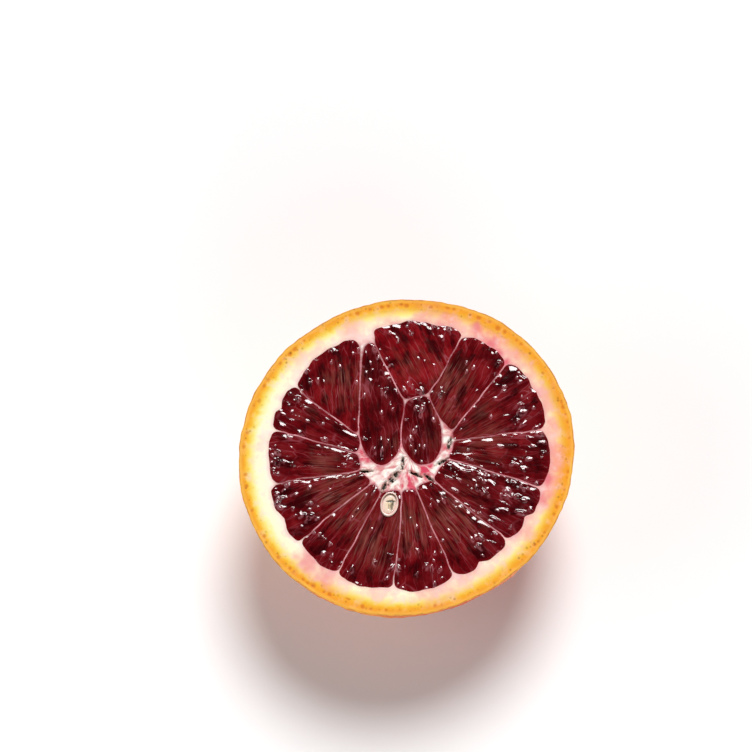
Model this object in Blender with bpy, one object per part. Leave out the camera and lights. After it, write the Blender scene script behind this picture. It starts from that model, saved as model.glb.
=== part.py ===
"""A blood orange cut in half across its segments, lying on its rind with the cut face up.

Metres, +Z up, with the origin under the middle of the half, on the surface that it rests on.
Every piece is drawn round the fruit's own core, at Z = 0 on the cut face and downwards, and
hangs from one empty that stands where the core meets the cut face.
"""

import math

import bpy
from mathutils import Vector

MM = 0.001

# The half as a whole
RIM_RADIUS = 34.2 * MM
RIM_WAVES = ((1, 0.65 * MM, 153), (2, 1.10 * MM, 20), (3, 0.10 * MM, 22))  # count, height, crest in degrees
HALF_DEPTH = 35.0 * MM  # from the cut face to the blossom end, before the flat spot
FLAT_SPOT_RADIUS = 8.0 * MM
RIND_POINTS = 60
RIND_LEVELS = 9

# Rind and pith, between the outer skin and the segments
PEEL_THICKNESS = 5.4 * MM
PEEL_THICKER_BY = 0.45 * MM
PEEL_THICKEST_AT = 200  # degrees
FLESH_DEPTH = 29.4 * MM  # from the cut face to where the segments would meet the pith at the blossom end

# Walls between the segments, called septa, and the room that a segment keeps to them
SEPTUM_THICKNESS = 0.5 * MM
GAP = 0.3 * MM
POCKET_INSET = SEPTUM_THICKNESS / 2
FLESH_INSET = POCKET_INSET + GAP

# The form of a segment
LOBE_SWELL = 0.35 * MM  # how far its back bows into the pith
BACK_SHARES = (0.25, 0.42, 0.58, 0.75)  # where along its back the outline has a point
NOTCHED_SHARES = (0.38, 0.7)  # the same for the part of a back on either side of a notch, towards the notch
CORNER_CUT = 2.3 * MM  # rounding where a septum meets the pith
SHARP_TIP = 1.0  # millimetres of rounding near the core
ROUND_TIP = 2.3
CORNER_STEPS = 4
SHARED_SIDE = 0.45  # most of a side that a rounding may take where both its ends are rounded
OWN_SIDE = 0.75
CROWN_RINGS = ((0.78, 0.40 * MM), (0.93, 0.22 * MM), (1.0, -0.30 * MM))  # share of its outline, height over the cut
LEVELS = (-8.5 * MM, -16.0 * MM, -21.5 * MM, -25.0 * MM)
SEGMENT_BOTTOM = -26.4 * MM

# Each septum: its end at the core in millimetres, and the bearing in degrees where it meets the pith
SEPTA = {
    "a": ((9.9, 3.7), 12.0),
    "b": ((9.4, 5.4), 44.5),
    "c": ((4.3, 13.6), 65.5),
    "d": ((-1.3, 12.5), 107.4),
    "e": ((-10.4, 6.2), 112.6),
    "f": ((-10.8, 4.6), 147.5),
    "g": ((-11.2, 1.0), 168.0),
    "h": ((-10.5, -2.7), 190.8),
    "i": ((-8.1, -5.4), 218.0),
    "j": ((-6.1, -8.0), 238.5),
    "k": ((-1.5, -7.6), 263.6),
    "l": ((1.6, -6.9), 290.6),
    "m": ((5.3, -5.0), 319.6),
    "n": ((8.5, -0.3), 346.6),
}

# Each segment with its back in the pith: the septa either side of it, the points between their
# ends that bring its tip to its place, the rounding of that tip, how far its back stands out
# beyond the pith's usual edge, and the bearing and depth of a notch in its back. All but the
# bearings are in millimetres.
SEGMENTS = {
    "segment_right_upper": ("a", "b", (), SHARP_TIP, 0.0, None),
    "segment_upper_right": ("b", "c", ((6.8, 8.2),), SHARP_TIP, -0.4, None),
    "segment_top": ("c", "d", (), SHARP_TIP, 0.4, None),
    "segment_top_inner": (
        "d", "e", ((-1.7, 4.0), (-2.1, 0.0), (-5.2, -2.2), (-8.4, -0.6), (-10.2, 2.6)), ROUND_TIP, -2.8, None,
    ),
    "segment_upper_left": ("e", "f", (), SHARP_TIP, 0.0, None),
    "segment_left_upper": ("f", "g", ((-10.6, 2.9),), SHARP_TIP, 0.0, (158.5, 0.5)),
    "segment_left": ("g", "h", ((-10.1, -1.0),), SHARP_TIP, -0.5, None),
    "segment_left_lower": ("h", "i", ((-8.4, -4.0),), SHARP_TIP, 0.0, (206.0, 0.7)),
    "segment_lower_left": ("i", "j", ((-6.7, -6.0),), SHARP_TIP, 0.0, None),
    "segment_seeded": ("j", "k", ((-3.9, -6.8),), SHARP_TIP, 0.0, None),
    "segment_bottom": ("k", "l", ((-0.8, -7.0),), SHARP_TIP, 0.5, None),
    "segment_lower_right": ("l", "m", ((2.5, -5.5),), SHARP_TIP, 0.0, (304.0, 1.0)),
    "segment_right_lower": ("m", "n", ((5.7, -3.7), (6.5, -2.0)), SHARP_TIP, 0.0, (332.0, 0.8)),
    "segment_right": ("n", "a", ((9.2, 1.3),), SHARP_TIP, 0.0, None),
}

# The small segment by the core, which doesn't reach the pith at this cut
CORE_SEGMENT = "segment_core"
CORE_SEGMENT_CORNERS = (
    (-1.2, 11.9), (-1.5, 4.0), (-0.8, 0.2), (1.6, -2.4), (4.8, -1.6), (7.2, 2.0), (7.3, 5.0), (4.1, 13.1), (1.2, 13.0),
)

# The seed, cut through, in the tip of its segment
SEED_CENTRE = (-4.1 * MM, -9.9 * MM)
SEED_RADII = (1.85 * MM, 2.65 * MM, 3.0 * MM)
SEED_TURN = 12  # degrees, its long axis from +Y
SEED_TOP = 0.35 * MM
SEED_POINTS = 20
SEED_LEVELS = 5
SEED_BAY_REACH = 4.5 * MM  # half the width of the bay that takes the segment's tip away
SEED_BAY_SHELF = -1.2 * MM  # from the seed's centre to where the bay widens

# Clefts in the core: place in millimetres, length and width in millimetres, bearing in degrees
CLEFTS = (
    (-9.0, -2.9, 2.0, 0.5, 2),
    (-3.1, -4.1, 3.0, 1.0, 50),
    (-5.2, -6.2, 2.0, 0.6, 66),
    (-1.3, -1.2, 2.2, 0.5, 86),
    (1.4, -3.5, 2.3, 0.5, -22),
    (4.2, -4.3, 1.8, 0.5, -36),
    (6.9, -0.9, 2.2, 0.5, 28),
    (8.4, 2.9, 1.9, 0.7, 72),
)
CLEFT_DEPTH = 1.6 * MM
CLEFT_FOOT = 0.55  # share of its length and width left at its foot
CLEFT_POINTS = 8

ABOVE_CUT = 2.0 * MM  # how far a cutter stands over what it cuts


def rim_radius(degrees):
    """Radius of the outer skin on the cut face."""
    waves = sum(height * math.cos(count * math.radians(degrees - crest)) for count, height, crest in RIM_WAVES)
    return RIM_RADIUS + waves


def pith_radius(degrees):
    """Radius where the pith ends and the segments begin, on the cut face."""
    thicker = PEEL_THICKER_BY * math.cos(math.radians(degrees - PEEL_THICKEST_AT))
    return rim_radius(degrees) - PEEL_THICKNESS - thicker


def at_bearing(degrees, radius):
    turn = math.radians(degrees)
    return Vector((radius * math.cos(turn), radius * math.sin(turn)))


def shrink_at(z, depth):
    """How much narrower the fruit is at height z than on the cut face, as a round body of that depth."""
    return math.sqrt(max(0.0, 1 - (z / depth) ** 2))


def bowed(start, end, shares, reach):
    """Points between two bearings along the pith's edge, bowed out from it by the swell of one lobe."""
    points = []
    for share in shares:
        bearing = start + (end - start) * share
        points.append(at_bearing(bearing, pith_radius(bearing) + reach + LOBE_SWELL * math.sin(math.pi * share)))
    return points


def back_of_segment(start, end, reach, notch):
    """The curved back of a segment from bearing start to bearing end, in two lobes where it is notched."""
    if not notch:
        return bowed(start, end, (0, *BACK_SHARES, 1), reach)
    bearing, depth = notch
    first_lobe = bowed(start, bearing, (0, *NOTCHED_SHARES), reach)
    notch_point = at_bearing(bearing, pith_radius(bearing) + reach - depth * MM)
    second_lobe = bowed(end, bearing, (0, *NOTCHED_SHARES), reach)
    return [*first_lobe, notch_point, *reversed(second_lobe)]


def segment_corners(first, second, tips, tip_rounding, reach, notch):
    """Corners of a segment's cell, between the middles of its septa, each with its rounding."""
    (first_end, start), (second_end, end) = SEPTA[first], SEPTA[second]
    back = back_of_segment(start, end + (360 if end < start else 0), reach * MM, notch)
    inner_ends = [Vector(point) * MM for point in (second_end, *reversed(tips), first_end)]
    corners = [(back[0], CORNER_CUT)]
    corners += [(point, 0.0) for point in back[1:-1]]
    corners += [(back[-1], CORNER_CUT)]
    corners += [(point, tip_rounding * MM) for point in inner_ends]
    return corners


def core_segment_corners():
    return [(Vector(corner) * MM, CORNER_CUT) for corner in reversed(CORE_SEGMENT_CORNERS)]


def turned_anticlockwise(corners):
    points = [corner[0] for corner in corners]
    area = sum(a.x * b.y - b.x * a.y for a, b in zip(points, points[1:] + points[:1]))
    return corners if area > 0 else corners[::-1]


def inset(corners, distance):
    """The same corners moved in from every side by distance."""
    moved = []
    for i, (point, cut) in enumerate(corners):
        before, after = corners[i - 1][0], corners[(i + 1) % len(corners)][0]
        come, leave = (point - before).normalized(), (after - point).normalized()
        side_in, side_out = Vector((-come.y, come.x)), Vector((-leave.y, leave.x))
        middle = (side_in + side_out).normalized()
        moved.append((point + middle * (distance / max(middle.dot(side_in), 0.3)), cut))
    return moved


def rounded(corners):
    """The outline with each corner replaced by a short curve."""
    outline = []
    for i, (point, cut) in enumerate(corners):
        (before, cut_before), (after, cut_after) = corners[i - 1], corners[(i + 1) % len(corners)]
        if not cut:
            outline.append(point)
            continue
        reach_in = min(cut, (SHARED_SIDE if cut_before else OWN_SIDE) * (point - before).length)
        reach_out = min(cut, (SHARED_SIDE if cut_after else OWN_SIDE) * (after - point).length)
        start = point + (before - point).normalized() * reach_in
        end = point + (after - point).normalized() * reach_out
        for step in range(CORNER_STEPS):
            t = step / (CORNER_STEPS - 1)
            outline.append(start * (1 - t) ** 2 + point * 2 * t * (1 - t) + end * t**2)
    return outline


def scaled_ring(outline, share, z, centre=Vector((0, 0))):
    return [Vector((*(centre + (point - centre) * share), z)) for point in outline]


def lofted(name, rings, parent):
    """A closed solid through rings of equal length, highest first, each anticlockwise seen from above."""
    count = len(rings[0])
    vertices = [point for ring in rings for point in ring]
    faces = [list(range(count)), [len(vertices) - 1 - i for i in range(count)]]
    for level in range(len(rings) - 1):
        high, low = level * count, (level + 1) * count
        for i in range(count):
            j = (i + 1) % count
            faces.append([high + i, low + i, low + j, high + j])
    mesh = bpy.data.meshes.new(name)
    mesh.from_pydata(vertices, [], faces)
    mesh.validate()
    solid = bpy.data.objects.new(name, mesh)
    bpy.context.scene.collection.objects.link(solid)
    solid.parent = parent
    return solid


def make_cutter(cutter, collection):
    """Marks a solid as a tool that only takes material away."""
    cutter.hide_render = True
    cutter.display_type = "WIRE"
    bpy.context.scene.collection.objects.unlink(cutter)
    collection.objects.link(cutter)
    return cutter


def cut_away(solid, cutters):
    """Takes everything in the cutters' collection out of the solid."""
    boolean = solid.modifiers.new("cut", "BOOLEAN")
    boolean.operation = "DIFFERENCE"
    boolean.solver = "EXACT"
    boolean.operand_type = "COLLECTION"
    boolean.collection = cutters


def material(name, colour, roughness, coat=0.0):
    made = bpy.data.materials.new(name)
    made.use_nodes = True
    shader = made.node_tree.nodes["Principled BSDF"]
    shader.inputs["Base Color"].default_value = (*colour, 1)
    shader.inputs["Roughness"].default_value = roughness
    shader.inputs["Metallic"].default_value = 0
    shader.inputs["Coat Weight"].default_value = coat
    return made


def finish(solid, surface, sharp_degrees):
    """Gives a solid its surface, shaded smooth but for edges sharper than the angle."""
    solid.data.materials.append(surface)
    solid.data.shade_smooth()
    solid.data.set_sharp_from_angle(angle=math.radians(sharp_degrees))


def cell_outlines():
    """Each segment's cell as corners with their roundings, by name."""
    cells = {name: segment_corners(*cell) for name, cell in SEGMENTS.items()}
    cells[CORE_SEGMENT] = core_segment_corners()
    return {name: turned_anticlockwise(corners) for name, corners in cells.items()}


def rind_and_pith(parent):
    """Rind, pith, septa and core in one piece, before the pockets are cut."""
    lowest_turn = math.acos(FLAT_SPOT_RADIUS / RIM_RADIUS)
    bearings = [360 * i / RIND_POINTS for i in range(RIND_POINTS)]
    rings = []
    for level in range(RIND_LEVELS + 1):
        turn = lowest_turn * level / RIND_LEVELS
        z = -HALF_DEPTH * math.sin(turn)
        rings.append([Vector((*at_bearing(b, rim_radius(b) * math.cos(turn)), z)) for b in bearings])
    return lofted("rind_and_pith", rings, parent)


def segment(name, corners, parent):
    """The flesh of one segment: crowned on top, and narrowing towards the blossom end."""
    outline = rounded(inset(corners, FLESH_INSET))
    middle = sum(outline, Vector((0, 0))) / len(outline)
    rings = [scaled_ring(outline, share, z, middle) for share, z in CROWN_RINGS]
    for z in (*LEVELS, SEGMENT_BOTTOM):
        rings.append(scaled_ring(outline, shrink_at(z, FLESH_DEPTH), z))
    return lofted(name, rings, parent)


def pocket(name, corners, parent):
    """What a segment takes out of the pith: the segment's own form, larger by the gap."""
    outline = rounded(inset(corners, POCKET_INSET))
    rings = [scaled_ring(outline, 1, ABOVE_CUT)]
    for z in (*LEVELS, SEGMENT_BOTTOM - GAP):
        rings.append(scaled_ring(outline, shrink_at(z, FLESH_DEPTH), z))
    return lofted(name, rings, parent)


def seed_ring(grow, share, z):
    """A level ring of the seed's oval, share of its full size, grown all round."""
    ring = []
    lean = math.radians(SEED_TURN)
    for i in range(SEED_POINTS):
        turn = math.tau * i / SEED_POINTS
        x = (SEED_RADII[0] + grow) * share * math.cos(turn)
        y = (SEED_RADII[1] + grow) * share * math.sin(turn)
        place = Vector((x * math.cos(lean) + y * math.sin(lean), y * math.cos(lean) - x * math.sin(lean)))
        ring.append(Vector((*(Vector(SEED_CENTRE) + place), z)))
    return ring


def seed(parent):
    """The lower half of a seed, cut flat on top."""
    rings = [seed_ring(0, 1, SEED_TOP)]
    for level in range(SEED_LEVELS):
        turn = 0.44 * math.pi * level / (SEED_LEVELS - 1)
        rings.append(seed_ring(0, math.cos(turn), -SEED_RADII[2] * math.sin(turn)))
    return lofted("seed", rings, parent)


def seed_bay(parent):
    """The room round the seed, which opens to the tip of its segment."""
    oval = [point.to_2d() for point in seed_ring(GAP, 1, 0)]
    centre = Vector(SEED_CENTRE)
    shelf = centre.y + SEED_BAY_SHELF
    below = sorted((point for point in oval if point.y < shelf), key=lambda point: point.x)
    left, right = centre.x - SEED_BAY_REACH, centre.x + SEED_BAY_REACH
    top = centre.y + SEED_BAY_REACH
    outline = [Vector((left, shelf)), *below, Vector((right, shelf)), Vector((right, top)), Vector((left, top))]
    rings = [scaled_ring(outline, 1, ABOVE_CUT), scaled_ring(outline, 1, -SEED_RADII[2] - GAP)]
    return lofted("seed_bay", rings, parent)


def cleft(number, x, y, length, width, degrees, parent):
    """A cutter for one narrow gap in the core, smaller at its foot."""
    along, across = at_bearing(degrees, length * MM / 2), at_bearing(degrees + 90, width * MM / 2)
    middle = Vector((x, y)) * MM
    turns = [math.tau * i / CLEFT_POINTS for i in range(CLEFT_POINTS)]
    outline = [middle + along * math.cos(turn) + across * math.sin(turn) for turn in turns]
    rings = [
        scaled_ring(outline, 1, ABOVE_CUT),
        scaled_ring(outline, 1, 0),
        scaled_ring(outline, CLEFT_FOOT, -CLEFT_DEPTH, middle),
    ]
    return lofted(f"cleft_{number}", rings, parent)


def fruit_axis():
    """The empty at the core on the cut face, set so that the half stands over the origin."""
    rim = [at_bearing(b, rim_radius(b)) for b in range(360)]
    middle_x = (min(p.x for p in rim) + max(p.x for p in rim)) / 2
    middle_y = (min(p.y for p in rim) + max(p.y for p in rim)) / 2
    cut_height = HALF_DEPTH * shrink_at(FLAT_SPOT_RADIUS, RIM_RADIUS)
    axis = bpy.data.objects.new("fruit_axis", None)
    axis.location = (-middle_x, -middle_y, cut_height)
    bpy.context.scene.collection.objects.link(axis)
    return axis


def main():
    for old in list(bpy.data.objects):
        bpy.data.objects.remove(old)

    peel_finish = material("orange_rind_and_pith", (0.86, 0.42, 0.09), 0.45)
    flesh_finish = material("blood_orange_flesh", (0.16, 0.008, 0.014), 0.18, coat=1.0)
    seed_finish = material("seed_kernel", (0.80, 0.68, 0.46), 0.4)

    axis = fruit_axis()
    cells = cell_outlines()

    pockets = bpy.data.collections.new("pockets")
    bay = bpy.data.collections.new("seed_bay")
    for collection in (pockets, bay):
        bpy.context.scene.collection.children.link(collection)
    for name, corners in cells.items():
        make_cutter(pocket(f"pocket_for_{name}", corners, axis), pockets)
    for number, place in enumerate(CLEFTS, 1):
        make_cutter(cleft(number, *place, axis), pockets)
    make_cutter(seed_bay(axis), bay)

    peel = rind_and_pith(axis)
    cut_away(peel, pockets)
    finish(peel, peel_finish, sharp_degrees=14)
    for name, corners in cells.items():
        flesh = segment(name, corners, axis)
        if name == "segment_seeded":
            cut_away(flesh, bay)
        finish(flesh, flesh_finish, sharp_degrees=35)
    finish(seed(axis), seed_finish, sharp_degrees=35)


main()
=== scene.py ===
"""The looks of a blood orange half that lies on its rind with the cut face up.

Lengths are in metres and angles in degrees, unless a name says otherwise. Outlines, depths and the
fruit's axis are read from the solids, and each visible piece is then made from them as a fine mesh.
"""

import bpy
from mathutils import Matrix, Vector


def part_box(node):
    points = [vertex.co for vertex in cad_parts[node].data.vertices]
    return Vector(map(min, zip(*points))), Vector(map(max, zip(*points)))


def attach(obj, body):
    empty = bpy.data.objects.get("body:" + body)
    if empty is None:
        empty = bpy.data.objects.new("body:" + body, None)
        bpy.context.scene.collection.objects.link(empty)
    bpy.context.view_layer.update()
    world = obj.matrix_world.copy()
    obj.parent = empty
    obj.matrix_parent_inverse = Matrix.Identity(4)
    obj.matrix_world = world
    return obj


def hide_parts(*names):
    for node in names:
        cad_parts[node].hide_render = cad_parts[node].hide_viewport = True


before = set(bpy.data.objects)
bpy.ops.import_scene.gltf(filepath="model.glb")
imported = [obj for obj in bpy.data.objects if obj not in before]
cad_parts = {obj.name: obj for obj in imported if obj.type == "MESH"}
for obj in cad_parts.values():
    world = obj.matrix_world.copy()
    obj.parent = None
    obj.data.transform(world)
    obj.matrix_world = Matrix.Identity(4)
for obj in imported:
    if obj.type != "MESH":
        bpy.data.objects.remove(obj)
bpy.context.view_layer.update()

import math
from functools import partial

import bpy
import numpy as np
from mathutils import Vector, noise
from mathutils.geometry import delaunay_2d_cdt
from mathutils.kdtree import KDTree

bl_info = {
    "name": "Blood orange half",
    "version": (1, 0, 0),
    "blender": (4, 5, 0),
    "location": "3D View > Sidebar > Fruit",
    "description": "Makes the rind, pith, segments and seed of a halved blood orange round its solids",
    "category": "Object",
}

MM = 0.001
ON_PLANE = 0.01 * MM  # a point this near to a level plane lies on it
LEAST_POINTS = 12  # in an outline or a ring

# What the solids say
PEEL_NODE = "rind_and_pith"
SEED_NODE = "seed"
SEGMENT_NODES = sorted(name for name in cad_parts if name.startswith("segment_"))
SEEDED_NODE = "segment_seeded"
CUT_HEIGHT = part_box(PEEL_NODE)[1].z
FLESH_DEPTH = 29.4 * MM  # from the cut face to where the segments would meet the pith at the blossom end
FLESH_BOTTOM = 26.4 * MM
FLAT_SPOT_RADIUS = 8 * MM
RIM_HARMONICS = 5  # how many waves the rim's outline is drawn with
CLEFT_AREA = 6 * MM**2  # an outline on the cut face that is smaller than this is a cleft in the core

# How red a segment is, from 0 to 1
USUAL_REDNESS = 0.30
REDNESS = {
    "segment_top": 0.90,
    "segment_upper_left": 0.50,
    "segment_upper_right": 0.45,
    "segment_right": 0.35,
    "segment_bottom": 0.35,
    "segment_right_lower": 0.20,
    "segment_core": 0.10,
    "segment_top_inner": 0.05,
}

# Where light shows through the flesh in brown streaks: place and reach in millimetres, strength
GLOWS = (
    (-13.0, 15.3, 5.0, 0.9), (1.0, 20.6, 4.5, 0.5), (9.3, 16.5, 5.0, 0.8), (8.6, 9.9, 3.5, 0.9),
    (16.1, 9.9, 4.0, 0.4), (16.1, 3.0, 5.5, 0.7), (13.0, -7.0, 4.0, 0.4), (10.1, -13.9, 6.0, 1.0),
    (1.8, -14.7, 5.5, 0.9), (-6.5, -18.5, 5.5, 0.9), (-11.8, -10.8, 5.5, 1.0), (-14.9, -7.8, 5.5, 1.0),
    (-17.1, -0.9, 3.5, 0.8), (-21.0, 10.5, 3.0, 0.3), (-3.0, 2.9, 2.5, 0.35), (0.9, 1.4, 2.0, 0.35),
    (5.8, 3.4, 2.5, 0.35),
)

# Where the sacs are torn and run with juice, in the same form
WET_PATCHES = (
    (-24.3, 13.0, 3.5, 0.9), (-26.0, 9.0, 3.0, 0.9), (-27.5, -1.5, 4.0, 0.9), (-10.3, -0.5, 2.2, 1.0),
    (-15.6, 1.4, 3.0, 0.5), (-20.2, -12.4, 3.0, 1.0), (-25.5, -7.8, 3.5, 1.0), (-16.0, 22.0, 3.5, 0.5),
    (-21.0, 17.0, 3.0, 0.5), (-6.6, 20.6, 4.0, 0.8), (-3.5, 13.7, 3.0, 1.0), (-7.3, 1.4, 4.0, 0.4),
    (2.5, 12.2, 3.0, 0.9), (2.0, 4.0, 4.0, 0.4), (-2.0, 27.9, 3.0, 0.8), (7.8, 26.8, 3.5, 0.9),
    (18.4, 21.4, 3.0, 0.8), (7.0, 12.9, 2.0, 0.7), (20.7, 16.0, 3.0, 1.0), (23.7, 9.1, 3.5, 0.9),
    (22.9, -2.0, 2.5, 1.0), (27.0, 3.0, 3.0, 0.7), (16.1, -4.7, 4.0, 1.0), (23.7, -7.8, 4.5, 1.0),
    (12.0, -2.5, 3.5, 0.8), (19.0, -12.0, 3.5, 0.8), (16.1, -18.5, 3.5, 0.7), (6.3, -10.1, 2.0, 0.5),
    (4.8, -25.4, 3.5, 0.7), (-3.5, -23.1, 3.0, 0.8), (-9.5, -25.0, 3.0, 0.5), (-16.4, -20.8, 3.5, 0.6),
    (-20.0, -16.5, 3.0, 0.7),
)

# Share of pink in the pith by bearing; the rest of it is yellow and cream
PINK_BY_BEARING = (
    (0, 1.0), (30, 0.60), (60, 0.90), (90, 0.55), (120, 0.30), (145, 0.05), (215, 0.0), (240, 0.75),
    (265, 0.15), (280, 0.15), (300, 0.45), (330, 0.50), (345, 0.85), (360, 1.0),
)

# Juice stains in the pith: place and reach in millimetres, strength
STAINS = (
    (14.6, 27.4, 1.3, 0.7), (17.6, 24.0, 1.5, 0.8), (18.9, 21.8, 1.4, 1.0), (20.8, 19.9, 1.2, 1.0),
    (29.4, -4.5, 1.5, 0.8), (28.6, -9.0, 1.4, 0.6), (-20.5, -22.0, 3.0, 0.6), (-17.0, -24.5, 2.4, 0.5),
    (6.0, -28.5, 3.5, 0.3), (27.5, 12.0, 4.0, 0.3), (21.0, 20.0, 4.0, 0.3), (5.0, 29.0, 4.0, 0.25),
)

# Pink in the core, in the same form
CORE_STAINS = (
    (0.3, -5.1, 2.0, 0.9), (1.4, -7.0, 1.3, 0.9), (-8.6, -0.6, 1.5, 0.7), (-9.8, 1.0, 1.3, 0.8),
    (3.9, -2.6, 1.1, 1.5), (5.0, -1.9, 0.7, 1.2), (4.4, -3.8, 1.1, 0.8), (9.1, 1.4, 1.3, 0.8),
    (8.2, -0.2, 0.8, 0.6), (-1.3, 2.4, 1.0, 1.0), (-0.9, 4.6, 0.8, 0.8), (5.6, -6.4, 0.9, 0.4),
    (-5.6, -3.6, 1.0, 0.3),
)


def linear(value):
    """An sRGB hex colour as the linear colour that a shader takes. Any other value stays as it is."""
    if not (isinstance(value, str) and value.startswith("#")):
        return value
    channels = [int(value[i : i + 2], 16) / 255 for i in (1, 3, 5)]
    return tuple(c / 12.92 if c <= 0.04045 else ((c + 0.055) / 1.055) ** 2.4 for c in channels) + (1.0,)


def size_of(default, name, description):
    return bpy.props.FloatProperty(
        name=name, description=description, default=default * MM, min=0, precision=6, unit="LENGTH"
    )


def angle_of(degrees, name, description):
    return bpy.props.FloatProperty(
        name=name, description=description, default=math.radians(degrees), subtype="ANGLE"
    )


def colour_of(code, name, description):
    return bpy.props.FloatVectorProperty(
        name=name, description=description, default=linear(code), size=4, min=0, max=1, subtype="COLOR"
    )


class PeelSettings(bpy.types.PropertyGroup):
    """Sizes and colours of the rind and the pith."""

    skin_mesh: size_of(0.315, "Skin mesh", "Distance between the points of the rind's skin")
    lip_width: size_of(2.2, "Lip width", "How far the skin's piece reaches in over the cut face")
    pit_spacing: size_of(1.25, "Pit spacing", "Least distance between two oil glands' pits in the skin")
    pit_radius: size_of(0.62, "Pit radius", "Radius of a pit in the skin")
    pit_depth: size_of(0.17, "Pit depth", "Depth of a pit in the skin")
    gland_spacing: size_of(1.2, "Gland spacing", "Least distance between two glands on the cut face")
    gland_radius: size_of(0.80, "Gland radius", "Radius of a cut gland")
    gland_depth: size_of(0.10, "Gland depth", "Depth of a cut gland")
    swell: size_of(0.5, "Swell", "Height of the skin's slow swelling")
    wobble: size_of(0.32, "Wobble", "Unevenness of the skin where it was cut")
    pith_mesh: size_of(0.30, "Pith mesh", "Distance between the points of the cut pith")
    core_mesh: size_of(0.17, "Core mesh", "Distance between the points of the core and the septa")
    septum: size_of(0.27, "Septum", "Thickness of the skin between two segments")
    dent_depth: size_of(0.05, "Dent depth", "Depth of the small dents in the cut pith")
    fibre_height: size_of(0.35, "Fibre height", "Unevenness of the core's fibres")
    cleft_depth: size_of(1.1, "Cleft depth", "Depth of the clefts in the core")
    rind: colour_of("#f58220", "Rind", "Skin of the fruit")
    blush: colour_of("#e25a1c", "Blush", "Redder patches of the skin")
    gold: colour_of("#f7a62e", "Gold", "Yellower patches of the skin")
    cream: colour_of("#fffad2", "Cream", "Pith half way between the rind and the flesh")
    pink: colour_of("#f7a69a", "Pink", "Pith that has taken up juice")


class FleshSettings(bpy.types.PropertyGroup):
    """Sizes and colours of the segments' flesh."""

    mesh: size_of(0.12, "Flesh mesh", "Distance between the points of the cut flesh")
    edge_drop: size_of(0.16, "Edge drop", "How far the flesh can dip where it meets a septum")
    sac_length: size_of(6.5, "Sac length", "Length of a juice sac")
    sac_width: size_of(1.35, "Sac width", "Width of a juice sac")
    sac_height: size_of(0.022, "Sac height", "How far a cut sac stands out between its walls")
    lump_height: size_of(0.28, "Lump height", "Unevenness of the flesh along the sacs")
    bulge_length: size_of(3.0, "Bulge length", "Distance between the bulging ends of torn sacs, along them")
    bulge_width: size_of(1.7, "Bulge width", "Distance between the bulging ends of torn sacs, across them")
    bulge_height: size_of(0.24, "Bulge height", "Height of the bulging end of a torn sac")
    bead_length: size_of(1.7, "Bead length", "Distance between beads of juice along the sacs")
    bead_width: size_of(1.15, "Bead width", "Distance between beads of juice across the sacs")
    bead_height: size_of(0.13, "Bead height", "Height of a bead of juice")
    dark: colour_of("#340205", "Dark flesh", "Deepest parts of the flesh")
    flesh: colour_of("#6f0a11", "Flesh", "Most of the flesh")
    bright: colour_of("#970f19", "Bright flesh", "Thin or less coloured flesh")
    streak: colour_of("#7e3a33", "Streak", "Sacs that let light through")
    wall: colour_of("#a65560", "Sac wall", "Thin skins between the sacs")


class SeedSettings(bpy.types.PropertyGroup):
    """Sizes and colours of the cut seed."""

    turn: angle_of(12, "Turn", "Lean of the seed's long axis")
    coat_thickness: size_of(0.36, "Coat thickness", "Thickness of the seed's coat")
    coat: colour_of("#fad8cc", "Coat", "The seed's coat")
    kernel: colour_of("#f6dcb6", "Kernel", "The cut kernel")
    germ: colour_of("#3c3208", "Germ", "The dark mark in the kernel")


class StageSettings(bpy.types.PropertyGroup):
    """Camera, lights and floor."""

    elevation: angle_of(80, "Elevation", "Camera's height over the floor")
    key_strength: bpy.props.FloatProperty(
        name="Key light", description="Strength of the main light", default=2.8
    )
    key_width: angle_of(25, "Key width", "Angle that the main light fills")
    side_power: bpy.props.FloatProperty(
        name="Side lights", description="Power of each of the two soft lights", default=1.9, unit="POWER"
    )
    world_strength: bpy.props.FloatProperty(
        name="Surroundings", description="Light from all round", default=0.45
    )
    floor: colour_of("#ffffff", "Floor", "The plain floor")


# Outlines


def welded_cut_face():
    """Points of the flat cut face of the peel's solid, and its triangles as triples of point numbers."""
    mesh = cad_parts[PEEL_NODE].data
    numbers, points, triangles = {}, [], []
    for polygon in mesh.polygons:
        corners = [mesh.vertices[i].co for i in polygon.vertices]
        if min(corner.z for corner in corners) < CUT_HEIGHT - ON_PLANE:
            continue
        triangle = []
        for corner in corners:
            key = (round(corner.x / MM, 3), round(corner.y / MM, 3))
            if key not in numbers:
                numbers[key] = len(points)
                points.append((corner.x, corner.y))
            triangle.append(numbers[key])
        if len(set(triangle)) == 3:
            triangles.append(triangle)
    return np.array(points), triangles


def cut_face_outlines():
    """Closed outlines on the peel's cut face: the rim, the pockets by segment, and the clefts."""
    points, triangles = welded_cut_face()
    sides = {(t[i], t[(i + 1) % 3]) for t in triangles for i in range(3)}
    following = {a: b for a, b in sides if (b, a) not in sides}
    outlines = []
    while following:
        start, here = following.popitem()
        outline = [start]
        while here != start:
            outline.append(here)
            here = following.pop(here)
        outlines.append(points[outline])
    outlines.sort(key=lambda outline: -abs(area(outline)))
    rim, pockets = outlines[0], [o[::-1] for o in outlines[1:] if abs(area(o)) > CLEFT_AREA]
    clefts = [o for o in outlines[1:] if abs(area(o)) <= CLEFT_AREA]
    by_segment = {}
    for name in SEGMENT_NODES:
        low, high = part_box(name)
        middle = np.array([(low.x + high.x) / 2, (low.y + high.y) / 2])
        by_segment[name] = min(pockets, key=lambda pocket: np.linalg.norm(box_middle(pocket) - middle))
    return rim, by_segment, clefts


def area(outline):
    x, y = outline.T
    return 0.5 * float(np.sum(x * np.roll(y, -1) - y * np.roll(x, -1)))


def box_middle(outline):
    return (outline.min(0) + outline.max(0)) / 2


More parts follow.
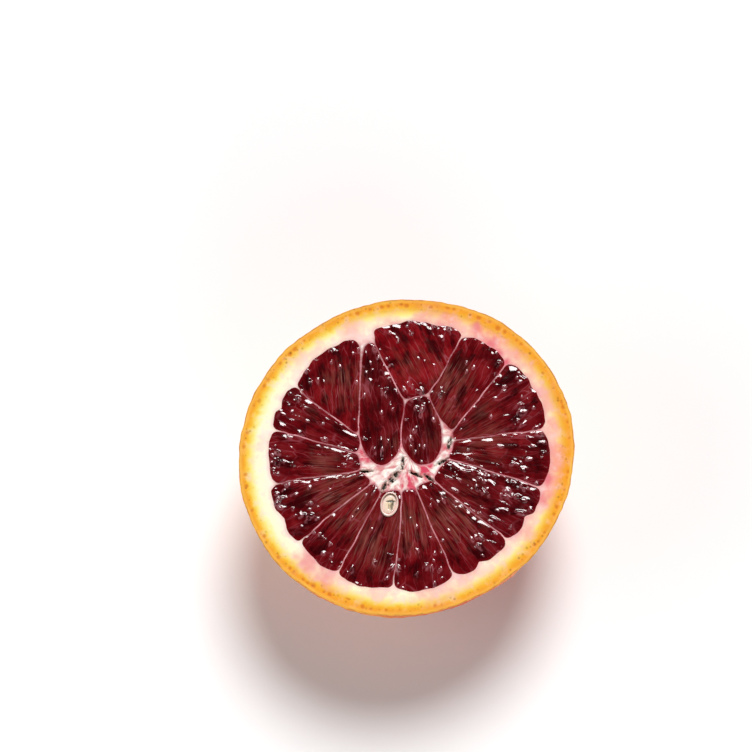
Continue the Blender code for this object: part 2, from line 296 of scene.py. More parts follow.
def resampled(outline, spacing):
    """The same closed outline with points at an even spacing."""
    closed = np.vstack([outline, outline[:1]])
    along = np.concatenate([[0], np.cumsum(np.linalg.norm(np.diff(closed, axis=0), axis=1))])
    count = max(LEAST_POINTS, int(round(along[-1] / spacing)))
    places = np.linspace(0, along[-1], count, endpoint=False)
    return np.column_stack([np.interp(places, along, closed[:, axis]) for axis in (0, 1)])


def smoothed(outline, reach):
    """An evenly spaced outline with each point drawn towards its neighbours, reach points either way."""
    offsets = np.arange(-2 * reach, 2 * reach + 1)
    weights = np.exp(-((offsets / reach) ** 2))
    return sum(np.roll(outline, -o, axis=0) * w for o, w in zip(offsets, weights)) / weights.sum()


def grown(outline, distance):
    """An anticlockwise outline moved outwards by distance."""
    along = np.roll(outline, -1, axis=0) - np.roll(outline, 1, axis=0)
    outwards = np.column_stack([along[:, 1], -along[:, 0]])
    return outline + outwards / np.linalg.norm(outwards, axis=1, keepdims=True) * distance


OUTLINE_SPACING = 0.2 * MM
BEND_LENGTH = 7 * MM  # how far apart the bends in the septa are
BEND = 0.6 * MM
WAVE_LENGTH = 2.2 * MM
WAVE = 0.12 * MM
SCALLOP_LENGTH = 2.0 * MM  # the ends of the sacs along the pith
SCALLOP = 0.30 * MM
SCALLOPS_FROM = 21 * MM  # from the fruit's axis
SCALLOPS_FULL = 26 * MM
APART = Vector((7.3, 3.1, 5.7))  # from the noise for one direction to the noise for the other

# How far an outline grows by its distance from the others, both in thicknesses of a septum
GAPS = (0.0, 1.0, 4.0, 8.0)
GROWTH = (-0.3, 0.0, 1.5, 0.4)


def bent(points, axis):
    """Points moved by waves, so that no septum stays quite straight, with scallops near the pith."""
    moved = []
    for x, y in points:
        place = Vector((x, y, 0))
        out = (math.dist((x, y), axis) - SCALLOPS_FROM) / (SCALLOPS_FULL - SCALLOPS_FROM)
        scallop = SCALLOP * min(max(out, 0.0), 1.0)
        shift = Vector((0, 0))
        for length, size in ((BEND_LENGTH, BEND), (WAVE_LENGTH, WAVE), (SCALLOP_LENGTH, scallop)):
            shift += size * Vector((noise.noise(place / length), noise.noise(place / length + APART)))
        moved.append((x + shift.x, y + shift.y))
    return np.array(moved)


def widened(outline, others, septum):
    """An outline grown until a thin septum parts it from the others, and a little where none is near."""
    gap = distances(outline, tree_of(np.vstack(others)))
    growth = smoothed(np.interp(gap / septum, GAPS, GROWTH) * septum, 2)
    return resampled(grown(outline, growth[:, None]), OUTLINE_SPACING)


# Rings of the wall between the skin's piece and the pith's
WALL_SPACING = 3 * MM
WALL_RINGS = 12
WALL_TOP = 0.1  # radians under the cut face
WALL_FOOT = 0.06  # radians over the flat spot


class Fruit:
    """The measures of the fruit that every piece is made from, all read from the solids."""

    def __init__(self, septum):
        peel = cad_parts[PEEL_NODE].data
        spot = np.array([v.co[:2] for v in peel.vertices if v.co.z < ON_PLANE])
        rim, pockets, self.clefts = cut_face_outlines()
        narrowing = np.ptp(spot[:, 0]) / np.ptp(rim[:, 0])
        self.axis = (box_middle(spot) - narrowing * box_middle(rim)) / (1 - narrowing)
        self.half_depth = CUT_HEIGHT / math.sqrt(1 - narrowing**2)
        self.lowest_turn = math.acos(narrowing)
        from_axis = rim - self.axis
        bearings = np.arctan2(from_axis[:, 1], from_axis[:, 0]) % math.tau
        radii = np.linalg.norm(from_axis, axis=1)[np.argsort(bearings)]
        self.first_bearing = bearings.min()
        self.waves = np.fft.rfft(radii)[: RIM_HARMONICS + 1] / len(radii)
        plain = {name: self.rounded(outline) for name, outline in pockets.items()}
        self.pockets = {
            name: widened(outline, [other for key, other in plain.items() if key != name], septum)
            for name, outline in plain.items()
        }

    def rounded(self, outline):
        """The outline of a pocket in the solid, with its corners rounded and its sides bent."""
        outline = smoothed(resampled(outline, OUTLINE_SPACING), 2)
        return resampled(bent(outline, self.axis), OUTLINE_SPACING)

    def rim_radius(self, bearings):
        """Radius of the skin on the cut face, as a smooth line through the solid's corners."""
        turned = np.asarray(bearings) - self.first_bearing
        radius = np.full(turned.shape, self.waves[0].real)
        for count, wave in enumerate(self.waves[1:], 1):
            radius = radius + 2 * (wave * np.exp(1j * count * turned)).real
        return radius

    def ring(self, spacing, turn=0.0, inside=0.0, height=None, share=1.0):
        """A level ring, turn radians below the cut face, a depth inside the skin and a share of its size."""
        radius = self.waves[0].real * math.cos(turn) * share - inside
        count = max(LEAST_POINTS, int(round(math.tau * radius / spacing)))
        bearings = np.linspace(0, math.tau, count, endpoint=False)
        radii = (self.rim_radius(bearings) * math.cos(turn) - inside) * share
        z = CUT_HEIGHT - self.half_depth * math.sin(turn) if height is None else height
        x = self.axis[0] + radii * np.cos(bearings)
        y = self.axis[1] + radii * np.sin(bearings)
        return np.column_stack([x, y, np.full(count, z)])

    def wall(self, inside):
        """Rings of the wall at a depth inside the skin, lowest first."""
        turns = np.linspace(self.lowest_turn - WALL_FOOT, WALL_TOP, WALL_RINGS)
        return [self.ring(WALL_SPACING, turn, inside) for turn in turns]

    def rings_down(self, outline, depths):
        """An outline of the flesh at depths under the cut, narrowed as the fruit is there."""
        rings = []
        for depth in depths:
            share = math.sqrt(max(0.0, 1 - (depth / FLESH_DEPTH) ** 2))
            rings.append(at_height(self.axis + (outline - self.axis) * share, CUT_HEIGHT - depth))
        return rings


# Meshes


def at_height(flat, height):
    """Flat points as points in space, all at one height or each at its own."""
    return np.column_stack([flat, np.broadcast_to(height, len(flat))])


def share_of(distance, whole):
    """Distances as shares of a whole, held between 0 and 1."""
    return np.clip(distance / whole, 0, 1)


def noise_at(points, length):
    """Smooth noise at each point, between -1 and 1, that changes over the given length."""
    return np.array([noise.noise(Vector(point).to_3d() / length) for point in points])


def hexagonal(low, high, spacing):
    """Points of an even triangular grid over a box."""
    rows = np.arange(low[1], high[1], spacing * math.sqrt(3) / 2)
    columns = np.arange(low[0], high[0], spacing)
    x, y = np.meshgrid(columns, rows)
    x[1::2] += spacing / 2
    return np.column_stack([x.ravel(), y.ravel()])


def inside(points, outline):
    """Which points lie inside a closed outline."""
    found = np.zeros(len(points), bool)
    low, high = outline.min(0), outline.max(0)
    near = np.flatnonzero(((points > low) & (points < high)).all(axis=1))
    x, y = points[near, 0], points[near, 1]
    crossings = np.zeros(len(near), bool)
    for (ax, ay), (bx, by) in zip(outline, np.roll(outline, -1, axis=0)):
        if ay == by:
            continue
        spans = (ay > y) != (by > y)
        crossings ^= spans & (x < (bx - ax) * (y - ay) / (by - ay) + ax)
    found[near] = crossings
    return found


def tree_of(points):
    tree = KDTree(len(points))
    for number, (x, y) in enumerate(points):
        tree.insert((x, y, 0), number)
    tree.balance()
    return tree


def distances(points, tree):
    return np.array([tree.find((x, y, 0))[2] for x, y in points])


GRID_CLEARANCE = 0.62  # least distance from a grid's point to an outline, in spacings of the grid
WELD = 1e-9


def flat_region(outer, holes, grids):
    """Points and triangles that fill an outline but for its holes. The outlines' own points come first."""
    outlines = [outer, *holes]
    edges_of = tree_of(np.vstack(outlines))
    filling = []
    for points, spacing in grids:
        kept = points[inside(points, outer)]
        for hole in holes:
            kept = kept[~inside(kept, hole)]
        filling.append(kept[distances(kept, edges_of) > GRID_CLEARANCE * spacing])
    points = np.vstack([*outlines, *filling])
    sides, start = [], 0
    for outline in outlines:
        count = len(outline)
        sides += [(start + i, start + (i + 1) % count) for i in range(count)]
        start += count
    made, _, triangles, *_ = delaunay_2d_cdt([Vector(point) for point in points], sides, [], 1, WELD)
    if len(made) != len(points):
        raise RuntimeError("two outlines of a flat region cross each other")
    triangles = np.array([triangle for triangle in triangles])
    middles = points[triangles].mean(axis=1)
    for hole in holes:
        kept = ~inside(middles, hole)
        triangles, middles = triangles[kept], middles[kept]
    return points, triangles


def band(upper, lower):
    """Triangles between two rings of point numbers that may differ in count, both anticlockwise."""
    triangles, i, j = [], 0, 0
    while i < len(upper) or j < len(lower):
        u, l = upper[i % len(upper)], lower[j % len(lower)]
        if j == len(lower) or (i < len(upper) and (i + 1) * len(lower) <= (j + 1) * len(upper)):
            triangles.append((u, l, upper[(i + 1) % len(upper)]))
            i += 1
        else:
            triangles.append((u, l, lower[(j + 1) % len(lower)]))
            j += 1
    return triangles


def fan(ring, centre):
    """Triangles that close a ring underneath, to one point."""
    return [(ring[i], centre, ring[(i + 1) % len(ring)]) for i in range(len(ring))]


def new_object(name, data):
    """An object with the given data, in the scene."""
    made = bpy.data.objects.new(name, data)
    bpy.context.scene.collection.objects.link(made)
    return made


class Shell:
    """Points and triangles of a closed mesh while it is put together."""

    def __init__(self, flat=(), triangles=(), height=0.0):
        """Starts empty, or with a filled outline at a height."""
        self.points = [tuple(point) for point in at_height(flat, height)] if len(flat) else []
        self.triangles = [tuple(triangle) for triangle in np.asarray(triangles).tolist()]

    def add_points(self, points):
        start = len(self.points)
        self.points.extend(map(tuple, points))
        return list(range(start, len(self.points)))

    def add_wall(self, top, rings):
        """A wall from a ring that is there already down through the given rings, closed by a point."""
        for ring in rings:
            numbers = self.add_points(ring)
            self.triangles += band(top, numbers)
            top = numbers
        (centre,) = self.add_points([np.mean(rings[-1], axis=0)])
        self.triangles += fan(top, centre)

    def add_ceiling(self, ring, centre):
        """Triangles that close a ring from above, to a new point, whose number is returned."""
        (number,) = self.add_points([centre])
        self.triangles += [triangle[::-1] for triangle in fan(ring, number)]

    def finished(self, name, **attributes):
        """The mesh as an object, with its attributes by name on its points."""
        mesh = bpy.data.meshes.new(name)
        mesh.from_pydata(self.points, [], self.triangles)
        for key, values in attributes.items():
            values = np.asarray(values, np.float32)
            kind, slot = ("FLOAT_VECTOR", "vector") if values.ndim == 2 else ("FLOAT", "value")
            mesh.attributes.new(key, kind, "POINT").data.foreach_set(slot, values.ravel())
        return new_object(name, mesh)


# Nodes

MATH, VECTOR = "ShaderNodeMath", "ShaderNodeVectorMath"
RANGE = "ShaderNodeMapRange"  # its inputs in order: value, from min, from max, to min, to max
MIX = "ShaderNodeMix"  # its inputs: 0 the share, 6 and 7 the colours, or 2 and 3 the numbers
NOISE, CELLS = "ShaderNodeTexNoise", "ShaderNodeTexVoronoi"  # their scales are in waves or cells to a metre
RAMP, BUMP = "ShaderNodeValToRGB", "ShaderNodeBump"
SPLIT, JOIN = "ShaderNodeSeparateXYZ", "ShaderNodeCombineXYZ"
PLACE, READ, NAMED = "ShaderNodeTexCoord", "ShaderNodeAttribute", "GeometryNodeInputNamedAttribute"
COMPARE = "FunctionNodeCompare"
COLOURS = {"out": 2, "data_type": "RGBA"}  # a mix of colours, and where its result comes out
FLAT_CELLS = {"voronoi_dimensions": "2D"}


def fill(node, inputs):
    """Gives a node's inputs, by name or in order, their values or the outputs that they are linked to."""
    for key, value in inputs.items() if isinstance(inputs, dict) else enumerate(inputs):
        if isinstance(value, bpy.types.NodeSocket):
            node.id_data.links.new(value, node.inputs[key])
        else:
            node.inputs[key].default_value = linear(value)


def add(tree, kind, inputs=(), out=0, stops=(), **settings):
    """Adds a node with its inputs, the stops of its ramp and its settings, and gives one of its outputs."""
    node = tree.nodes.new(kind)
    for name, value in settings.items():
        setattr(node, name, value)
    if stops:
        elements = node.color_ramp.elements
        while len(elements) < len(stops):
            elements.new(0.5)
        for element, (position, colour) in zip(elements, stops):
            element.position, element.color = position, linear(colour)
    fill(node, inputs)
    return node.outputs[out]


def new_material(name):
    """A material, its shader, and the function that adds nodes to it."""
    material = bpy.data.materials.new(name)
    material.use_nodes = True
    tree = material.node_tree
    return material, tree.nodes["Principled BSDF"], partial(add, tree)


def new_relief(name, inputs):
    """A Geometry Nodes tree with the named inputs, the function that adds nodes to it, and its two ends."""
    tree = bpy.data.node_groups.new(name, "GeometryNodeTree")
    kinds = {"Geometry": "NodeSocketGeometry", "Seed": "NodeSocketInt", "Material": "NodeSocketMaterial"}
    tree.interface.new_socket("Geometry", in_out="OUTPUT", socket_type=kinds["Geometry"])
    for key in ("Geometry", *inputs, "Material"):
        tree.interface.new_socket(key, in_out="INPUT", socket_type=kinds.get(key, "NodeSocketFloat"))
    given, result = tree.nodes.new("NodeGroupInput").outputs, tree.nodes.new("NodeGroupOutput")
    return tree, partial(add, tree), given, result


def end_relief(node, given, result, offset, **stored):
    """Ends a tree: values stored on the points by name, the points moved, made real and given a material."""
    geometry = given["Geometry"]
    for name, value in stored.items():
        geometry = node(
            "GeometryNodeStoreNamedAttribute", {"Geometry": geometry, "Name": name, "Value": value},
            data_type="FLOAT_VECTOR" if value.type == "VECTOR" else "FLOAT", domain="POINT",
        )
    moved = node("GeometryNodeSetPosition", {"Geometry": geometry, "Offset": offset})
    real = node("GeometryNodeRealizeInstances", (moved,))
    fill(result, (node("GeometryNodeSetMaterial", {"Geometry": real, "Material": given["Material"]}),))


def shape_with(piece, tree, settings, material, seed=0):
    """Runs a tree on a piece, with sizes from the settings of the same names, and keeps its plain mesh."""
    modifier = piece.modifiers.new(tree.name, "NODES")
    modifier.node_group = tree
    given = {"Seed": seed, "Material": material}
    for item in tree.interface.items_tree:
        if item.in_out == "INPUT" and item.name != "Geometry":
            setting = item.name.lower().replace(" ", "_")
            modifier[item.identifier] = given[item.name] if item.name in given else getattr(settings, setting)
    depsgraph = bpy.context.evaluated_depsgraph_get()
    mesh = bpy.data.meshes.new_from_object(
        piece.evaluated_get(depsgraph), preserve_all_data_layers=True, depsgraph=depsgraph
    )
    piece.modifiers.clear()
    piece.data = mesh


SHARP_EDGE = 60


def settle(piece, slot, *nodes):
    """Shades a finished piece, hangs it on the root body and hides the solids that it stands for."""
    piece.data.shade_smooth()
    piece.data.set_sharp_from_angle(angle=math.radians(SHARP_EDGE))
    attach(piece, "root")
    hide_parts(*nodes)


# Materials


def peel_material(settings):
    """Citrus peel: waxy skin over oily flavedo, then dry spongy pith. Colour runs by depth under the skin."""
    material, shader, node = new_material("citrus_peel")
    place = node(PLACE, out="Object")
    depth, near_flesh, outside, pit, gland, stain, pink, core, cleft, scar = (
        node(READ, out="Fac", attribute_name=name)
        for name in (
            "skin_depth", "flesh_near", "outside", "pit", "gland", "stain", "pink", "core", "cleft", "scar",
        )
    )
    slow, quick, fine, grains, patches = (
        node(NOISE, {"Vector": place, "Scale": scale, "Detail": detail})
        for scale, detail in ((170.0, 2.0), (520.0, 3.0), (1300.0, 3.0), (1900.0, 2.0), (38.0, 3.0))
    )

    # Cut face: the layers under the skin, with an uneven edge between them
    uneven = depth
    for part, reach in ((slow, 1.8 * MM), (quick, 2.2 * MM)):
        uneven = node(MATH, (part, reach, uneven), operation="MULTIPLY_ADD")
    layered = node(RANGE, (uneven, 2.0 * MM, 8.5 * MM))
    yellowish = node(RAMP, (layered,), stops=(
        (0.00, "#ea9c28"), (0.07, "#ee9b20"), (0.16, "#f2a41a"), (0.24, "#f5b82a"),
        (0.31, "#f9d252"), (0.41, "#fcea8e"), (0.57, settings.cream), (1.0, "#fff0e2"),
    ))
    pinkish = node(RAMP, (layered,), stops=(
        (0.00, "#f29a24"), (0.10, "#f69e12"), (0.24, "#f5a012"), (0.33, "#f6a030"),
        (0.42, "#f8a460"), (0.54, "#f9a688"), (0.75, settings.pink), (1.0, "#f2a3a1"),
    ))
    blotch = node(MATH, (quick, 0.9, slow), operation="MULTIPLY_ADD")
    blotch = node(MATH, (blotch, 0.95), operation="SUBTRACT")
    pink_share = node(MATH, (blotch, 1.6, pink), operation="MULTIPLY_ADD", use_clamp=True)
    face = node(MIX, {0: pink_share, 6: yellowish, 7: pinkish}, **COLOURS)

    # Cut glands from the relief, and dots for the smaller ones in the oily layer
    glands = node(RANGE, (gland, 0.15, 0.75, 0.0, 0.75))
    away = node(CELLS, {"Vector": place, "Scale": 1200.0, "Randomness": 1.0}, "Distance", feature="F1")
    dots = node(RANGE, (node(SPLIT, (away.node.outputs["Color"],)), 0.35, 1.0, -0.10, 0.40))
    dots = node(RANGE, (node(MATH, (dots, away), operation="SUBTRACT"), -0.10, 0.22, 0.0, 0.7))
    oily = node(RANGE, (depth, 1.9 * MM, 2.9 * MM, 1.0, 0.0))

    # Paler blotches, a brown brink at the skin, partly the skin's own dark edge and partly painted shade of
    # the rind's side, with a lit edge inside it, and pink where the pith touches the flesh
    paler = node(RANGE, (quick, 0.52, 0.68, 0.0, 0.5))
    # Painted shade, with the skin's own dark edge: a broken brown line at the brink
    shaded_brink = node(RANGE, (depth, 0.1 * MM, 0.36 * MM, 1.0, 0.0))
    broken = node(RANGE, (quick, 0.44, 0.56, 0.30, 0.75))
    lit_edge = node(RANGE, (depth, 0.45 * MM, 0.95 * MM, 0.7, 0.0))
    soaked = node(RANGE, (near_flesh, 0.0, 0.8 * MM, 0.75, 0.0))
    paler, dots, lit_edge, shaded_brink, soaked = (
        node(MATH, pair, operation="MULTIPLY")
        for pair in ((paler, layered), (dots, oily), (lit_edge, slow), (shaded_brink, broken), (soaked, quick))
    )
    for share, colour, blend in (
        (paler, "#fdf1ea", "MIX"), (glands, "#e0b048", "MULTIPLY"), (dots, "#ac963a", "MULTIPLY"),
        (lit_edge, "#fbd05a", "MIX"), (shaded_brink, "#b46c2a", "MIX"), (soaked, "#e88f92", "MIX"),
        (stain, "#e8707c", "MIX"),
    ):
        face = node(MIX, {0: share, 6: face, 7: colour}, blend_type=blend, **COLOURS)

    # Septa and core: thin pink skins that widen into white fibres
    strands = node(READ, out="Vector", attribute_name="strands")
    strands = node(NOISE, {"Vector": strands, "Scale": 1.0, "Detail": 3.0, "Distortion": 0.6})
    white = node(MIX, {0: node(RANGE, (strands, 0.38, 0.56)), 6: "#dd8c8c", 7: "#fff3ea"}, **COLOURS)
    rosy = node(RANGE, (strands, 0.64, 0.40, 0.45, 1.5))
    rosy = node(MATH, (rosy, stain), operation="MULTIPLY", use_clamp=True)
    wall = node(MIX, {0: node(RANGE, (slow, 0.42, 0.62)), 6: "#92303f", 7: "#d47f89"}, **COLOURS)
    thin = node(RANGE, (near_flesh, 0.08 * MM, 0.55 * MM, 1.0, 0.0))
    thin = node(MATH, (thin, 0.9), operation="MULTIPLY")
    inner = node(MIX, {0: rosy, 6: white, 7: "#d8405c"}, **COLOURS)
    inner = node(MIX, {0: thin, 6: inner, 7: wall}, **COLOURS)

    # Clefts: painted shade, black grains in a grey haze where the core's hollows lie in shadow
    grey_shade = node(MATH, (cleft, 0.45), operation="MULTIPLY")
    # Painted shade: black grains where the clefts lie in shadow
    opened = node(RANGE, (node(MATH, (grains, 2.5, cleft), operation="MULTIPLY_ADD"), 2.02, 2.20))
    hollow = node(MIX, {0: node(RANGE, (fine, 0.45, 0.65)), 6: "#0d0605", 7: "#4b4534"}, **COLOURS)
    for share, colour in ((core, inner), (grey_shade, "#99917e"), (opened, hollow)):
        face = node(MIX, {0: share, 6: face, 7: colour}, **COLOURS)

    # Outer skin: orange with slow patches of gold and red, a little deeper in the pits
    skin = node(RAMP, (patches,), stops=(
        (0.32, settings.gold), (0.46, settings.rind), (0.62, settings.blush), (0.75, "#cf3d16"),
    ))
    for share, colour in ((node(MATH, (pit, 0.45), operation="MULTIPLY"), "#d9540f"), (scar, "#6d4a24")):
        skin = node(MIX, {0: share, 6: skin, 7: colour}, **COLOURS)
    cut_roughness = node(RANGE, (core, 0.0, 1.0, 0.62, 0.42))
    fill(shader, {
        "Base Color": node(MIX, {0: outside, 6: face, 7: skin}, **COLOURS),
        "Roughness": node(MIX, {0: outside, 2: cut_roughness, 3: 0.36}, data_type="FLOAT"),
        "Normal": node(BUMP, {"Height": fine, "Strength": 0.25, "Distance": 0.15 * MM}),
        "IOR": 1.45, "Specular IOR Level": 0.35, "Subsurface Weight": 0.12,
        "Subsurface Radius": (1.0, 0.6, 0.35), "Subsurface Scale": 1.0 * MM,
    })
    return material


def flesh_material(settings):
    """Wet juice sacs: dark red under glossy juice, paler skins between them, brown where light gets in."""
    material, shader, node = new_material("wet_citrus_flesh")
    along, sacs = (node(READ, out="Vector", attribute_name=name) for name in ("fan", "sacs"))
    edge, bead, wet, glow, redness = (
        node(READ, out="Fac", attribute_name=name)
        for name in ("edge_distance", "bead", "wet", "glow", "redness")
    )
    cell, to_wall = (
        node(CELLS, {"Vector": sacs, "Scale": 1.0, "Randomness": 0.9}, out, feature=feature, **FLAT_CELLS)
        for out, feature in (("Color", "F1"), ("Distance", "DISTANCE_TO_EDGE"))
    )

    # Noise drawn out along the sacs: waves to a metre along and across them, detail and distortion
    broad, fine, patchy, mottle, walls = (
        node(NOISE, {
            "Vector": node(VECTOR, (along, waves), operation="MULTIPLY"), "Scale": 1.0, "Detail": detail,
            "Distortion": distortion,
        })
        for waves, detail, distortion in (
            ((150, 1100, 9), 2.0, 0.0), ((240, 3600, 9), 2.0, 0.0), ((230, 330, 9), 3.0, 0.0),
            ((700, 1000, 9), 2.0, 0.8), ((60, 300, 9), 1.5, 0.0),
        )
    )
    mixed = patchy
    for part, weight in ((broad, 0.14), (mottle, 0.35), (node(SPLIT, (cell,)), 0.18)):
        mixed = node(MATH, (part, weight, mixed), operation="MULTIPLY_ADD")
    shade = node(RANGE, (mixed, 0.67, 1.07, 0.04, 1.0))
    colour = node(MIX, {0: shade, 6: settings.dark, 7: settings.flesh}, **COLOURS)

    # Redder where the flesh is thin over the pith, and in the redder segments
    thin = node(RANGE, (edge, 0.1 * MM, 0.9 * MM, 0.35, 0.0))
    red = node(MATH, (redness, shade), operation="MULTIPLY")
    red = node(MATH, (red, thin), operation="MAXIMUM", use_clamp=True)

    # Brown streaks and fine lines where light shows through, and a cloudy painted sheen of the wet surface
    streaks = node(RANGE, (broad, 0.40, 0.66), interpolation_type="SMOOTHSTEP")
    streaks = node(MATH, (streaks, glow), operation="MULTIPLY")
    lines = node(RANGE, (fine, 0.54, 0.72))
    lines = node(MATH, (lines, node(RANGE, (glow, 0.0, 1.0, 0.03, 0.36))), operation="MULTIPLY")
    # Painted sheen: a soft pale haze where the wet flesh would mirror the light
    cloudy_sheen = node(RANGE, (mixed, 0.86, 1.16, 0.0, 0.13))

    # Thin pink lines: walls of the sacs
    walls = node(MATH, (walls, 0.5), operation="SUBTRACT")
    walls = node(RANGE, (node(MATH, (walls,), operation="ABSOLUTE"), 0.002, 0.010, 1.0, 0.0))
    ends = node(RANGE, (to_wall, 0.01, 0.05, 0.6, 0.0))
    walls = node(MATH, (walls, ends), operation="MAXIMUM")
    walls = node(MATH, (walls, node(RANGE, (patchy, 0.46, 0.62, 0.05, 0.6))), operation="MULTIPLY")

    # Darker on the wet patches and the beads of juice, partly deeper juice and partly painted dark reflection
    # round their glints, with a painted sheen on the beads' rims where they meet the flesh
    # Painted dark reflection, with deeper juice, on the wet patches and the beads
    deep = node(MATH, (wet, 0.34), operation="MULTIPLY")
    deep = node(MATH, (bead, 0.15, deep), operation="MULTIPLY_ADD", use_clamp=True)
    # Painted sheen: a pale rim round each bead of juice
    rim_sheen = node(MATH, (1.0, bead), operation="SUBTRACT")
    for factor in (bead, node(RANGE, (mottle, 0.44, 0.58, 0.0, 1.8))):
        rim_sheen = node(MATH, (rim_sheen, factor), operation="MULTIPLY")

    for share, over in (
        (red, settings.bright), (streaks, settings.streak), (lines, "#b58478"), (cloudy_sheen, "#7c4c50"),
        (walls, settings.wall), (deep, "#200206"), (rim_sheen, "#b9727a"),
    ):
        colour = node(MIX, {0: share, 6: colour, 7: over}, **COLOURS)
    fill(shader, {
        "Base Color": colour, "Normal": node(BUMP, {"Height": fine, "Strength": 0.15, "Distance": 0.05 * MM}),
        "Specular IOR Level": 0.0, "Subsurface Weight": 0.05, "Subsurface Radius": (1.0, 0.2, 0.2),
        "Subsurface Scale": 0.6 * MM, "Coat Weight": 1.0, "Coat Roughness": 0.09, "Coat IOR": 1.6,
    })
    return material


def seed_material(name, inner, outer, mark, roughness):
    """Moist seed: cream, a little translucent, with a colour that runs from the middle out."""
    material, shader, node = new_material(name)
    fine = node(NOISE, {"Vector": node(PLACE, out="Object"), "Scale": 1400.0, "Detail": 3.0})
    share, germ = (node(READ, out="Fac", attribute_name=key) for key in ("from_middle", "germ"))
    spread = node(RANGE, (node(MATH, (fine, 0.5, share), operation="MULTIPLY_ADD"), 0.4, 1.2))
    base = node(MIX, {0: spread, 6: inner, 7: outer}, **COLOURS)
    # Marks over the base: the kernel's dark germ, and on the coat painted shade round the seed
    fill(shader, {
        "Base Color": node(MIX, {0: germ, 6: base, 7: mark}, **COLOURS), "Roughness": roughness,
        "Subsurface Weight": 0.15, "Subsurface Radius": (1.0, 0.7, 0.5), "Subsurface Scale": 0.8 * MM,
        "Coat Weight": 0.6, "Coat Roughness": 0.12,
    })
    return material


def floor_material(colour):
    """Matt board: plain and pale, with the faintest mottling."""
    material, shader, node = new_material("matt_board")
    mottle = node(NOISE, {"Vector": node(PLACE, out="Object"), "Scale": 30.0})
    share = node(MATH, (mottle, 0.06), operation="MULTIPLY")
    fill(shader, {"Base Color": node(MIX, {0: share, 6: colour, 7: "#e4e4e4"}, **COLOURS), "Roughness": 0.8})
    return material


# Reliefs


def rind_relief():
    """Pits over the skin and cut glands on the lip, each set at even distances by chance."""
    tree, node, given, result = new_relief("Pitted rind", (
        "Pit spacing", "Pit radius", "Pit depth", "Gland spacing", "Gland radius", "Gland depth", "Swell",
        "Seed",
    ))
    place, normal = node("GeometryNodeInputPosition"), node("GeometryNodeInputNormal")
    outside, zone = (node(NAMED, {"Name": name}, data_type="FLOAT") for name in ("outside", "gland_zone"))
    ragged, vary, slow = (
        node(NOISE, {"Vector": place, "Scale": scale, "Detail": detail})
        for scale, detail in ((1100.0, 1.0), (420.0, 0.0), (130.0, 2.0))
    )
    bowls = []
    for where, kind, least in ((outside, "Pit", 0.6), (zone, "Gland", 0.05)):
        chosen = node(COMPARE, (where, 0.5), data_type="FLOAT", operation="GREATER_THAN")
        points = node("GeometryNodeDistributePointsOnFaces", {
            "Mesh": given["Geometry"], "Selection": chosen, "Distance Min": given[f"{kind} spacing"],
            "Density Max": 3.0e6, "Seed": given["Seed"],
        }, "Points", distribute_method="POISSON")
        near = node("GeometryNodeProximity", (points,), "Distance", target_element="POINTS")
        near = node(MATH, (ragged, 0.5 * MM, near), operation="MULTIPLY_ADD")
        near = node(MATH, (near, 0.2 * MM), operation="SUBTRACT")
        grow = node(RANGE, (vary, 0.35, 0.65, least, 1.3))
        reach = node(MATH, (given[f"{kind} radius"], grow), operation="MULTIPLY")
        bowl = node(RANGE, (near, 0.0, reach, 1.0, 0.0), interpolation_type="SMOOTHSTEP")
        bowls.append(node(MATH, (bowl, where), operation="MULTIPLY"))
    pit, gland = bowls
    swell = node(MATH, (slow, 0.65), operation="SUBTRACT")
    for factor in (given["Swell"], outside):
        swell = node(MATH, (swell, factor), operation="MULTIPLY")
    depths = ((pit, given["Pit depth"]), (gland, given["Gland depth"]))
    sunk = [node(MATH, pair, operation="MULTIPLY") for pair in depths]
    rise = node(MATH, (swell, node(MATH, sunk, operation="ADD")), operation="SUBTRACT")
    offset = node(VECTOR, {0: normal, "Scale": rise}, operation="SCALE")
    end_relief(node, given, result, offset, pit=pit, gland=gland)
    return tree


def pith_relief():
    """A dry sponge's small dents, with the clefts of the core sunk in and its fibres raised."""
    tree, node, given, result = new_relief("Spongy pith", ("Dent depth", "Fibre height", "Cleft depth"))
    place = node("GeometryNodeInputPosition")
    top, core, cleft = (
        node(NAMED, {"Name": name}, data_type="FLOAT") for name in ("cut_face", "core", "cleft")
    )
    dents = node(NOISE, {"Vector": place, "Scale": 520.0, "Detail": 3.0})
    dents = node(MATH, (dents, given["Dent depth"]), operation="MULTIPLY")
    sunk = node(MATH, (cleft, given["Cleft depth"]), operation="MULTIPLY")
    rise = node(NOISE, {"Vector": place, "Scale": 900.0, "Detail": 4.0, "Distortion": 1.0})
    for part, operation in (
        (0.45, "SUBTRACT"), (given["Fibre height"], "MULTIPLY"), (core, "MULTIPLY"),
        (dents, "SUBTRACT"), (sunk, "SUBTRACT"), (top, "MULTIPLY"),
    ):
        rise = node(MATH, (rise, part), operation=operation)
    end_relief(node, given, result, node(JOIN, {2: rise}))
    return tree


